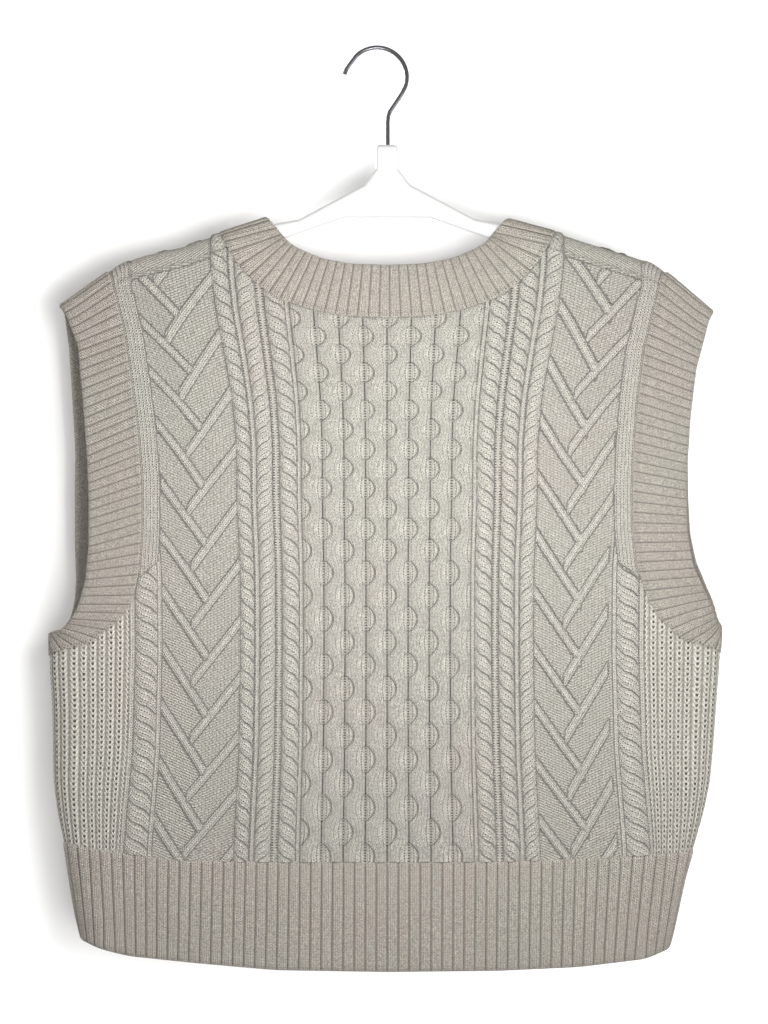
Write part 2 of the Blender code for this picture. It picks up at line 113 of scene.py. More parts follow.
def shoulder_line(across):
    """Height of the shoulder's top line, as drawn flat."""
    out = np.abs(across)
    return np.where(across < 0, shoulder_top[LEFT](out), shoulder_top[RIGHT](out)) + SHOULDER_EXTRA


def side_start(height, side):
    """Distance from the centre line at which the cloth starts to turn round the side."""
    outside = np.where(side < 0, side_out[LEFT](height), side_out[RIGHT](height))
    return outside - SIDE_RADIUS


def round_side(out, start):
    """How far out a flat distance reaches once it turns round the side, and its turn."""
    turn = np.clip((out - start) / SIDE_ARC, 0.0, 1.0) * math.pi / 2
    bend = start + SIDE_RADIUS * np.sin(np.minimum(SIDE_FLAT * turn, math.pi / 2))
    return np.where(out > start, bend, out), turn


def on_cloth(across, height, layer):
    """Points of the outer face, in millimetres, for flat places on a layer."""
    side = np.where(across < 0, -1.0, 1.0)
    out, turn = round_side(np.abs(across), side_start(height, side))
    line = shoulder_line(side * out)
    drop = line - height
    facing = np.where(drop > 0, layer, -layer)
    drop = np.abs(drop)
    angle = np.minimum(drop / SHOULDER_RADIUS, math.pi / 2)
    bow = 1.0 - CURVE_OF_BACK * (out / HALF_WIDTH) ** 2
    below = SHOULDER_RADIUS + (half_depth(drop - SHOULDER_EXTRA) - SHOULDER_RADIUS) * bow
    over = drop < SHOULDER_QUARTER
    crown = line - SHOULDER_EXTRA - SHOULDER_RADIUS * (1.0 - np.cos(angle))
    rise = np.where(over, crown, line - drop)
    half = np.where(over, SHOULDER_RADIUS * np.sin(angle), below) * np.cos(turn)
    return np.stack([CENTRE_X + side * out, facing * half, rise], axis=-1)


def off_cloth(across, height, layer, lift):
    """Points that stand off the outer face by a lift, which is negative on the inside."""
    side = np.where(across < 0, -1.0, 1.0)
    edge = side_start(height, side) + SIDE_ARC
    inner = np.minimum(np.abs(across), edge - 2 * SLOPE_STEP) * side
    ahead = on_cloth(inner + SLOPE_STEP, height, layer)
    along = ahead - on_cloth(inner - SLOPE_STEP, height, layer)
    above = on_cloth(inner, height + SLOPE_STEP, layer)
    up = above - on_cloth(inner, height - SLOPE_STEP, layer)
    normal = -np.cross(along, up) * np.asarray(layer, float)[..., None]
    normal /= np.linalg.norm(normal, axis=-1, keepdims=True)
    return on_cloth(across, height, layer) + normal * np.asarray(lift)[..., None]


# ---------------------------------------------------------------------------------------
# The yarn: an oatmeal heather wool, spun of greenish grey and pinkish beige fibres.
# Knit stitches show as columns of V, purl stitches as rows of small bars; their crevices, holes and
# grooves are darkened with painted shade.
# ---------------------------------------------------------------------------------------
WALE = 2.5
COURSE = 1.87
YARN_LIGHT = (0.98, 0.95, 0.855, 1.0)
YARN_DARK = (0.28, 0.25, 0.215, 1.0)
YARN_PINK = (0.85, 0.77, 0.69, 1.0)
YARN_GREEN = (0.81, 0.80, 0.695, 1.0)
CREVICE_SHADE = (0.17, 0.15, 0.125, 1.0)
HOLE_SHADE = (0.06, 0.05, 0.04, 1.0)
DYED_SHARE = 0.42
CREASE_SHADE_SHARE = 0.54
HOLLOW_SHADE_SHARE = 0.8
STITCH_DEPTH = 0.0011
FIBRE_DEPTH = 0.00012


class Wire:
    """A socket of a material's nodes; arithmetic on it adds the nodes that do it."""

    def __init__(self, tree, socket=None):
        self.tree = tree
        self.socket = socket

    def node(self, kind, inputs=(), output=0, stops=(), **settings):
        """New node: its settings, its ramp's stops, then values or wires for its sockets."""
        made = self.tree.nodes.new(kind)
        for name, value in settings.items():
            setattr(made, name, value)
        for element, (place, colour) in zip(made.color_ramp.elements if stops else (), stops):
            element.position = place
            element.color = colour
        for name, value in dict(inputs).items():
            if isinstance(value, Wire):
                self.tree.links.new(value.socket, made.inputs[name])
            else:
                made.inputs[name].default_value = value
        return Wire(self.tree, made.outputs[output])

    def maths(self, operation, *values):
        return self.node("ShaderNodeMath", enumerate(values), operation=operation)

    def __add__(self, other):
        return self.maths("ADD", self, other)

    def __sub__(self, other):
        return self.maths("SUBTRACT", self, other)

    def __rsub__(self, other):
        return self.maths("SUBTRACT", other, self)

    def __mul__(self, other):
        return self.maths("MULTIPLY", self, other)

    __radd__ = __add__
    __rmul__ = __mul__

    def mixed(self, first, second):
        """Two colours mixed by this wire as the share of the second."""
        return self.node("ShaderNodeMix", {0: self, 6: first, 7: second}, 2, data_type="RGBA")


def knit_finish(name, tone):
    """Wool knit whose stitches follow the cloth's own stitch and shade attributes; crevices, holes
    and the shade attribute darken its colour as painted shade.
    """
    material = bpy.data.materials.new(name)
    material.use_nodes = True
    tree = material.node_tree
    shader = tree.nodes["Principled BSDF"]
    start = Wire(tree)
    # The marks attribute carries crevice lines with their darkness and the gaps of holes, and the
    # shade attribute carries the painted shade of grooves, creases, seams and the inner face.
    stitch = start.node("ShaderNodeAttribute", output="Vector", attribute_name="stitch")
    marks = start.node("ShaderNodeAttribute", output="Vector", attribute_name="marks")
    hollow_shade = start.node("ShaderNodeAttribute", output="Fac", attribute_name="shade")
    place = start.node("ShaderNodeTexCoord", output="Object")
    wale, course, purl, line, line_depth, gaps = (
        start.node("ShaderNodeSeparateXYZ", {0: vector}, axis)
        for vector in (stitch, marks)
        for axis in "XYZ"
    )

    across = start.maths("ABSOLUTE", start.maths("FRACT", wale) - 0.5)
    leg = start.maths("SINE", across * (2 * math.pi))
    lean = start.maths("ABSOLUTE", start.maths("SINE", (course - across * 1.5) * math.pi))
    vee = (leg * 0.55 + 0.45) * (lean * 0.6 + 0.4)
    bar_row = start.maths("SINE", course * (2 * math.pi)) * 0.5 + 0.5
    bar_wave = start.maths("COSINE", wale * (2 * math.pi) + course * math.pi) * 0.5 + 0.5
    bar = bar_row * (bar_wave * 0.5 + 0.5)
    height = vee * (1.0 - purl) + bar * purl
    # Holes of ladders and tucks, and thin crevice lines: dents in the bump and painted shade in the
    # colour.
    beside = start.node(
        "ShaderNodeMapRange", {0: gaps * 0.42 - across, 1: -0.02, 2: 0.13, 3: 0.0, 4: 1.0}
    )
    dash = start.maths("COSINE", course * (2 * math.pi))
    dashes = start.node("ShaderNodeMapRange", {0: dash, 1: -0.25, 2: 0.65, 3: 0.0, 4: 1.0})
    hole = beside * dashes
    to_line = start.maths("PINGPONG", line, 0.5)
    drawn = start.node("ShaderNodeMapRange", {0: to_line, 1: 0.01, 2: 0.06, 3: 1.0, 4: 0.0})
    crevice = drawn * line_depth

    fibre = start.node(
        "ShaderNodeTexNoise", {"Vector": place, "Scale": 1050.0, "Detail": 1.0, "Roughness": 0.6}
    )
    heather = start.node(
        "ShaderNodeTexNoise", {"Vector": place, "Scale": 420.0, "Detail": 2.0, "Roughness": 0.6}
    )
    uneven = start.node("ShaderNodeMapRange", {0: heather, 1: 0.4, 2: 0.55, 3: 0.5, 4: 1.0})
    hole = hole * uneven
    crevice = crevice * uneven
    patch = start.node(
        "ShaderNodeTexNoise", {"Vector": place, "Scale": 9.0, "Detail": 3.0, "Roughness": 0.55}
    )
    patches = start.node(
        "ShaderNodeMapRange", {0: patch, 1: 0.38, 2: 0.62, 3: 0.0, 4: 1.0}
    )
    speckle = start.node(
        "ShaderNodeMapRange", {0: fibre * 0.75 + heather * 0.25, 1: 0.36, 2: 0.62, 3: 0.0, 4: 1.0}
    )
    dyed = patches.mixed(YARN_GREEN, YARN_PINK)
    spun = speckle.mixed(YARN_DARK, YARN_LIGHT)
    yarn = start.node("ShaderNodeMix", {0: DYED_SHARE, 6: spun, 7: dyed}, 2, data_type="RGBA")
    toned = start.node(
        "ShaderNodeMix", {0: 1.0, 6: yarn, 7: tone}, 2, data_type="RGBA", blend_type="MULTIPLY"
    )
    # Painted shade: the colour darkens toward the crevice shade colour in the low parts of each
    # stitch, by the shade attribute, along the drawn crevice lines and in the holes.
    creased = ((1.0 - height) * CREASE_SHADE_SHARE).mixed(toned, CREVICE_SHADE)
    shaded = (hollow_shade * HOLLOW_SHADE_SHARE).mixed(creased, CREVICE_SHADE)
    lined = crevice.mixed(shaded, HOLE_SHADE)
    colour = hole.mixed(lined, HOLE_SHADE)
    tree.links.new(colour.socket, shader.inputs["Base Color"])

    relief = (height - hole - crevice) * STITCH_DEPTH + fibre * FIBRE_DEPTH
    bump = start.node("ShaderNodeBump", {"Strength": 1.0, "Distance": 1.0, "Height": relief})
    tree.links.new(bump.socket, shader.inputs["Normal"])
    shader.inputs["Roughness"].default_value = 0.93
    shader.inputs["Specular IOR Level"].default_value = 0.25
    shader.inputs["Sheen Weight"].default_value = 0.22
    shader.inputs["Sheen Roughness"].default_value = 0.6
    return material


body_knit = knit_finish("body_knit", (1.0, 1.0, 1.0, 1.0))
band_knit = knit_finish("band_knit", (0.95, 0.92, 0.905, 1.0))

# ---------------------------------------------------------------------------------------
# The bands: a rib neckband, two rib armbands and a deep rib hem, each knitted on along a
# seam.  They are drawn as pairs of points, on the free edge and on the seam.
# ---------------------------------------------------------------------------------------
BAND_WALL = 2.6
BAND_BASE = -0.4
RIB_PITCH = 0.8
RIB_RISE = 1.35
RIB_WALES = 3
SAMPLES = 10
RIDGE_STEPS = 3

NECK_BACK = [
    (0.0, -151.7, 0.0, -189.0),
    (25.5, -150.9, 31.0, -187.4),
    (45.0, -147.3, 57.0, -182.0),
    (59.0, -141.6, 78.0, -174.7),
    (67.5, -136.9, 92.0, -164.5),
    (72.5, -131.8, 103.0, -153.5),
    (77.5, -125.9, 111.0, -142.0),
    (84.5, -118.4, 118.5, -128.8),
]
NECK_FRONT_EDGE_DROP = 86.0
NECK_FRONT_SEAM_DROP = 110.0
NECK_FRONT_ANGLES = (0, 4, 8, 12, 20, 27, 34, 41, 48, 55, 62, 69, 76, 83, 90)
# Each armband row: edge across, edge height, seam across, seam height, further out in front.
ARM_ROWS = {
    LEFT: [
        (230.3, -180.5, 196.0, -156.3, 0.0),
        (225.4, -185.2, 191.1, -169.4, 2.0),
        (216.3, -209.3, 184.1, -197.4, 8.0),
        (213.2, -242.9, 179.2, -228.9, 9.0),
        (210.0, -282.8, 174.3, -267.4, 10.0),
        (208.6, -315.0, 171.5, -302.4, 12.0),
        (208.6, -347.9, 171.5, -337.4, 12.0),
        (210.7, -372.4, 173.6, -368.9, 9.0),
        (214.9, -387.8, 177.8, -387.8, 6.0),
        (220.8, -399.7, 188.3, -401.1, 3.0),
        (228.9, -407.4, 207.9, -416.5, 1.0),
        (236.7, -410.2, 236.7, -426.3, 0.0),
    ],
    RIGHT: [
        (229.6, -184.9, 196.0, -156.8, 0.0),
        (222.6, -198.1, 186.0, -180.0, 0.0),
        (216.5, -225.0, 180.0, -211.0, 0.0),
        (212.5, -257.0, 175.5, -245.0, 1.0),
        (210.3, -289.0, 172.8, -280.0, 2.0),
        (209.7, -315.0, 171.5, -309.0, 3.0),
        (210.0, -338.0, 171.8, -338.0, 4.0),
        (213.5, -360.0, 174.5, -362.0, 5.0),
        (220.5, -376.0, 180.0, -380.0, 5.0),
        (226.5, -388.0, 189.0, -398.0, 4.0),
        (231.0, -399.7, 206.0, -414.0, 2.0),
        (234.3, -408.1, 234.3, -424.0, 0.0),
    ],
}
ARM_LAST_TURNS = (0.5, 0.925)
HEM_SEAM = {
    LEFT: ([0.0, 78.0, 140.0, 190.0, 227.0], [-569.0, -569.0, -568.4, -562.2, -555.8]),
    RIGHT: ([0.0, 78.0, 140.0, 190.0, 227.0], [-569.0, -568.8, -566.8, -563.7, -560.0]),
}
HEM_ACROSS = [0.0, 78.0, 134.0, 181.0, 205.0, 215.0]
HEM_EDGE = {
    LEFT: (HEM_ACROSS, [-646.0, -644.7, -639.8, -634.9, -629.0, -624.5]),
    RIGHT: (HEM_ACROSS, [-646.0, -645.2, -642.6, -637.0, -629.0, -624.5]),
}
HEM_FLARE = 0.09
SIDE_GAP = 0.5
SIDE_DEPTH = 17.0


def lay_flat(across, height, side):
    """Flat place of a point that is given as seen from the front."""
    start = float(side_start(height, side))
    flat_across = across
    if across > start:
        sine = min((across - start) / SIDE_RADIUS, 1.0)
        turn = math.asin(sine) / (SIDE_FLAT if sine < 1.0 else 1.0)
        flat_across = start + SIDE_ARC * turn / (math.pi / 2)
    line = float(shoulder_line(side * across))
    below = line - SHOULDER_EXTRA - height
    flat_height = height
    if below < SHOULDER_RADIUS:
        turn = math.acos(1.0 - max(below, 0.0) / SHOULDER_RADIUS)
        flat_height = line - SHOULDER_RADIUS * turn
    return side * flat_across, flat_height


def at_drop(line, drop):
    """Place on a flat line, drawn from the shoulder down, at a given drop along the cloth."""
    drops = [float(shoulder_line(across)) - height for across, height in line]
    across = np.interp(drop, drops, [a for a, _ in line])
    return float(across), float(shoulder_line(across)) - drop


def band_stations(edge, seam, rows_at_shoulder, last_drop):
    """Pairs of free edge and seam from the shoulder line down one layer of a band."""
    drops = [SHOULDER_QUARTER * i / RIDGE_STEPS for i in range(RIDGE_STEPS + 1)]
    drops += [last_drop] if last_drop > drops[-1] else []
    pairs = [(at_drop(edge, drop), at_drop(seam, drop)) for drop in drops]
    return np.array(pairs + list(zip(edge, seam))[rows_at_shoulder:])


def arm_stations(side, layer):
    """Stations of an armband on one layer, from the shoulder to the side."""
    edge = []
    seam = []
    for edge_across, edge_height, seam_across, seam_height, at_front in ARM_ROWS[side]:
        shift = at_front if layer == FRONT else 0.0
        limit = float(side_start(edge_height, side)) + SIDE_RADIUS
        edge.append(lay_flat(min(edge_across + shift, limit), edge_height, side))
        seam.append(lay_flat(min(seam_across + shift, limit), seam_height, side))
    pairs = band_stations(edge, seam, 2, SHOULDER_SEAM)
    turning = [pairs[-2] + (pairs[-1] - pairs[-2]) * share for share in ARM_LAST_TURNS]
    return np.concatenate([pairs[:-1], turning, pairs[-1:]])


def neck_back_stations(side):
    """Stations of the neckband on the back, from the shoulder to the centre."""
    edge = [lay_flat(row[0], row[1], side) for row in NECK_BACK[::-1]]
    seam = [lay_flat(row[2], row[3], side) for row in NECK_BACK[::-1]]
    return band_stations(edge, seam, 2, SHOULDER_SEAM)


def neck_front_stations(side):
    """Stations of the neckband on the front, half ovals from the same shoulder points."""
    edge_across, edge_height, seam_across, seam_height = NECK_BACK[-1]
    edge = []
    seam = []
    for angle in np.radians(NECK_FRONT_ANGLES):
        across, fall = math.cos(angle), math.sin(angle)
        edge.append(lay_flat(edge_across * across, edge_height - NECK_FRONT_EDGE_DROP * fall, side))
        seam.append(lay_flat(seam_across * across, seam_height - NECK_FRONT_SEAM_DROP * fall, side))
    return band_stations(edge, seam, 4, SHOULDER_QUARTER)


def drawn_out(pairs, reach):
    """Close pairs along a band in place of its few stations, with their corners eased."""
    middle = pairs.mean(axis=1)
    along = np.concatenate([[0.0], np.cumsum(np.linalg.norm(np.diff(middle, axis=0), axis=1))])
    count = int(along[-1] / RIB_PITCH) + 1
    spots = np.linspace(0.0, along[-1], count)
    flat = pairs.reshape(len(pairs), 4)
    line = np.stack([np.interp(spots, along, flat[:, k]) for k in range(4)], axis=1)
    weight = np.hanning(int(2 * reach / RIB_PITCH) | 1)
    weight /= weight.sum()
    pad = len(weight) // 2
    before = 2 * line[0] - line[pad:0:-1]
    after = 2 * line[-1] - line[-2:-pad - 2:-1]
    long = np.concatenate([before, line, after])
    soft = np.stack([np.convolve(long[:, k], weight, "valid") for k in range(4)], axis=1)
    return soft.reshape(count, 2, 2)


def side_limit(height, side):
    """Flat distance at which a piece stops, half a gap short of the side."""
    short = math.asin(0.5 * SIDE_GAP / SIDE_DEPTH) / (math.pi / 2)
    return side_start(height, side) + SIDE_ARC * (1.0 - short)


def hem_line(table, side, flare):
    """Closely spaced points of a hem line from the centre to one side; its ribs may flare."""
    curve = eased(table[side][0], table[side][1], 10.0)
    shares = np.linspace(0.0, 1.0, 280)
    shares = shares * (1.0 + flare * (1.0 - shares ** 4))
    height = np.full(shares.shape, table[side][1][0])
    for _ in range(5):
        out, _ = round_side(shares * side_limit(height, side), side_start(height, side))
        height = curve(out)
    return np.stack([side * shares * side_limit(height, side), height], axis=1)


arm_pairs = {
    (side, layer): drawn_out(arm_stations(side, layer), 6.0)
    for side in (LEFT, RIGHT)
    for layer in (BACK, FRONT)
}
neck_back_pairs = {side: drawn_out(neck_back_stations(side), 9.0) for side in (LEFT, RIGHT)}
neck_front_pairs = {side: drawn_out(neck_front_stations(side), 9.0) for side in (LEFT, RIGHT)}


def rib_relief(turns):
    """Lift and painted groove shade of a two-by-one rib for a count of repeats along the band."""
    part = turns % 1.0
    off_groove = np.minimum(part, 1.0 - part)
    groove = np.exp(-(off_groove / 0.105) ** 2)
    middle = np.exp(-((part - 0.5) / 0.07) ** 2)
    lift = RIB_RISE * (1.0 - groove) - 0.22 * middle
    return lift, 0.85 * groove ** 1.3 + 0.12 * middle


def new_mesh(name, points, faces, attributes, material):
    """Piece of cloth from points in millimetres, with its values for each point."""
    mesh = bpy.data.meshes.new(name)
    mesh.from_pydata((points * MM).tolist(), [], faces)
    for key, values in attributes.items():
        kind, field = ("FLOAT_VECTOR", "vector") if values.ndim == 2 else ("FLOAT", "value")
        layer = mesh.attributes.new(key, kind, "POINT")
        layer.data.foreach_set(field, values.astype("f").ravel())
    mesh.shade_smooth()
    mesh.materials.append(material)
    piece = bpy.data.objects.new(name, mesh)
    bpy.context.collection.objects.link(piece)
    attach(piece, "root")
    return piece


def band_profile(steps, chained):
    """Way round a band's section: its share from edge to seam, its lift, how much rib shows."""
    wall = BAND_WALL
    outer = [(share, 0.0, 1.0) for share in np.linspace(0.045, 0.975, steps)]
    seam_end = [(1.0, -0.55 * chained, 0.35), (1.006, -1.3, 0.0)]
    inner = [(share, -wall, -0.35) for share in (0.97, 0.72, 0.5, 0.28, 0.06)]
    edge_end = [(0.018, -wall * 0.86, -0.1), (0.0, -wall * 0.5, 0.25), (0.014, -0.35, 0.75)]
    return np.array(outer + seam_end + inner + edge_end)


def evenly(layers, pairs, closed, repeat):
    """The same band with ten pairs to each repeat of its rib, and its count of repeats."""
    if closed:
        layers = np.append(layers, layers[0])
        pairs = np.concatenate([pairs, pairs[:1]])
    middle = pairs.mean(axis=1)
    points = on_cloth(middle[:, 0], middle[:, 1], layers)
    along = np.concatenate([[0.0], np.cumsum(np.linalg.norm(np.diff(points, axis=0), axis=1))])
    count = round(along[-1] / repeat)
    spots = np.linspace(0.0, along[-1], count * SAMPLES + 1)
    flat = pairs.reshape(len(pairs), 4)
    even = np.stack([np.interp(spots, along, flat[:, k]) for k in range(4)], axis=1)
    first = np.clip(np.searchsorted(along, spots, "right") - 1, 0, len(along) - 2)
    on_back = (layers[first] == BACK) & (layers[first + 1] == BACK)
    even_layers = np.where(on_back, BACK, FRONT)
    kept = slice(0, -1) if closed else slice(None)
    return even_layers[kept], even.reshape(-1, 2, 2)[kept], np.arange(len(spots))[kept] / SAMPLES


def knit_band(name, layers, pairs, closed, repeat, steps, turned, chained):
    """Rib band through its pairs of edge and seam, all round or from side to side."""
    profile = band_profile(steps, chained)
    layers, pairs, repeats = evenly(layers, pairs, closed, repeat)
    turns = repeats[:, None] + np.zeros(len(profile))
    lift, shade = rib_relief(turns)
    share, base, show = profile.T
    flat_points = pairs[:, 0, None, :] + (pairs[:, 1] - pairs[:, 0])[:, None, :] * share[:, None]
    width = np.linalg.norm(pairs[:, 1] - pairs[:, 0], axis=1)[:, None]
    total = BAND_BASE + base + lift * show
    # The linking chain along the seam, and the crease beside it, which is darkened with painted
    # shade.
    chain = 0.5 + 0.5 * np.cos(2 * math.pi * turns * RIB_WALES)
    outer_share = (base > -0.1) * chained
    near_seam = np.exp(-(((1.0 - share) * width - 1.9) / 0.75) ** 2) * outer_share
    total += near_seam * (0.1 + 0.35 * chain) - near_seam * lift * 0.5
    shade = shade * np.clip(show, 0.15, 1.0) * (1.0 - near_seam)
    in_crease = np.exp(-(((1.0 - share) * width - 3.3) / 0.5) ** 2) * outer_share
    shade = np.clip(shade + 0.3 * in_crease, 0.0, 1.0)
    layer_of = np.repeat(np.asarray(layers, float)[:, None], len(profile), axis=1)
    placed = off_cloth(flat_points[..., 0], flat_points[..., 1], layer_of, total)
    wale = turns * RIB_WALES + 0.5
    stitch = np.stack([wale, share * width / COURSE, np.zeros(turns.shape)], axis=-1)
    rows, columns = turns.shape
    index = np.arange(rows * columns).reshape(rows, columns)
    ahead = np.roll(index, -1, axis=0) if closed else index[1:]
    here = index if closed else index[:-1]
    quads = np.stack(
        [here, ahead, np.roll(ahead, -1, axis=1), np.roll(here, -1, axis=1)], axis=-1
    ).reshape(-1, 4)
    faces = quads.tolist() if turned else quads[:, ::-1].tolist()
    if not closed:
        caps = [index[0].tolist(), index[-1][::-1].tolist()]
        faces += caps if turned else [cap[::-1] for cap in caps]
    # Holes along the linking chain, darkened with painted shade.
    gap = np.where(base < -0.4, 0.0, 0.25 + 0.75 * near_seam)
    marks = np.stack([np.full(gap.size, 0.5), np.zeros(gap.size), gap.ravel()], axis=1)
    attributes = {"stitch": stitch.reshape(-1, 3), "shade": shade.ravel(), "marks": marks}
    piece = new_mesh(name, placed.reshape(-1, 3), faces, attributes, band_knit)
    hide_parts(name)


def ring(back, front):
    """Pairs and layers of a band all round, down the back and up the front."""
    pairs = np.concatenate([back, front[1:-1][::-1]])
    layers = np.concatenate([np.full(len(back), BACK), np.full(len(front) - 2, FRONT)])
    return layers, pairs


layers, pairs = ring(
    np.concatenate([neck_back_pairs[LEFT], neck_back_pairs[RIGHT][-2::-1]]),
    np.concatenate([neck_front_pairs[LEFT], neck_front_pairs[RIGHT][-2::-1]]),
)
knit_band("neckband", layers, pairs, True, 6.9, 18, True, 1.0)
for side, name in ((LEFT, "armband_left"), (RIGHT, "armband_right")):
    layers, pairs = ring(arm_pairs[side, BACK], arm_pairs[side, FRONT])
    knit_band(name, layers, pairs, True, 6.6, 18, side == RIGHT, 0.6)

hem_pairs = np.stack(
    [
        np.concatenate([hem_line(table, LEFT, flare)[:0:-1], hem_line(table, RIGHT, flare)])
        for table, flare in ((HEM_EDGE, HEM_FLARE), (HEM_SEAM, 0.0))
    ],
    axis=1,
)
for layer, name in ((BACK, "hem_back"), (FRONT, "hem_front")):
    layers = np.full(len(hem_pairs), layer)
    knit_band(name, layers, hem_pairs, False, 7.7, 30, layer == FRONT, 0.0)

# ---------------------------------------------------------------------------------------
# The body: a back and a front in cable knit, with a honeycomb in the middle, ropes on
# both sides of it, travelling ribs on purl ground, and a fisherman's rib at the sides.
# Widths are those of the cloth at rest; it spreads towards the shoulders.
# ---------------------------------------------------------------------------------------
BODY_WALL = 2.4
BODY_BASE = -0.9
SPREAD_HEIGHTS = [-560.0, -491.4, -421.4, -364.7, -316.4, -277.9, -246.4, -211.4, -183.4, -151.9]
SPREAD = [1.02, 0.985, 0.974, 0.977, 1.0, 1.003, 1.03, 1.09, 1.143, 1.18]
ROPES_END = 180.6
SIDE_AT = 250.0

GROOVE = 15.05
BODY_PITCH = {BACK: GROOVE / 15, FRONT: GROOVE / 13}
STRAND_SWING = 1.9
STRAND_RISE = 2.1
CELL_HALF = 6.2
CELL_SHARE = 0.285
LINE_REPEAT = 13.0
LADDER_APART = 3.7
CELL_HEIGHTS = [
    -548.2, -514.4, -480.6, -448.1, -415.7, -383.2, -351.5, -322.1, -294.6, -267.1, -240.3, -214.6
]
HONEYCOMB_END = 59.6
ROPE_HEIGHTS = [-600.0, -400.0, -260.0, -120.0]
ROPE_REPEATS = [11.8, 11.7, 11.0, 10.7]
ROPE_BASE = 0.45
ROPE_RISE = 1.75
# Each rope and panel: its inner and outer limit on either half.
SINGLE_ROPE = (63.0, 74.6)
INNER_ROPE = (79.8, 90.7)
OUTER_ROPE = (94.7, 105.0)
SIDE_ROPE = (164.5, 180.0)
CHEVRON = (105.0, 160.6)
CHEVRON_REPEAT = 40.0
# Each travelling rib: where it starts across its panel, a start's height, its fall, its end.
CHEVRON_RIBS = {
    LEFT: [(1.5, -182.0, -1.46, 33.5), (54.6, -202.0, 1.25, 20.5)],
    RIGHT: [(1.5, -182.0, -1.43, 34.0), (51.0, -197.0, 1.55, 20.5)],
}
CHEVRON_HALF = 3.1
CHEVRON_RISE = 1.25
GROUND = 0.4
SIDE_RIB_FROM = 184.5
SIDE_RIB_REPEAT = 6.55
TUCK_REPEAT = 3.65
SELVEDGE = 13.0
SELVEDGE_END = -366.0
SPLIT = 61.0

spread = eased(SPREAD_HEIGHTS, SPREAD, 14.0)
rope_heights = np.arange(-660.0, -60.0, 0.5)
rope_turns = np.cumsum(0.5 / np.interp(rope_heights, ROPE_HEIGHTS, ROPE_REPEATS))


def across_of(wide, height):
    """Flat distance from the centre line for a place across the knitting."""
    side = np.where(wide < 0, -1.0, 1.0)
    out = np.abs(wide)
    last = ROPES_END * spread(height)
    edge = side_start(height, side) + SIDE_ARC
    beyond = last + (out - ROPES_END) * (edge - last) / (SIDE_AT - ROPES_END)
    return side * np.where(out > ROPES_END, beyond, out * spread(height))


def wide_of(across, height):
    """Place across the knitting for a flat distance from the centre line."""
    side = np.where(across < 0, -1.0, 1.0)
    out = np.abs(across)
    last = ROPES_END * spread(height)
    edge = side_start(height, side) + SIDE_ARC
    beyond = ROPES_END + (out - last) * (SIDE_AT - ROPES_END) / np.maximum(edge - last, 1.0)
    return side * np.where(out > last, beyond, out / spread(height))


def near(distance, reach):
    """One at a line and nothing past its reach, with a soft fall between."""
    return np.exp(-(distance / reach) ** 2)


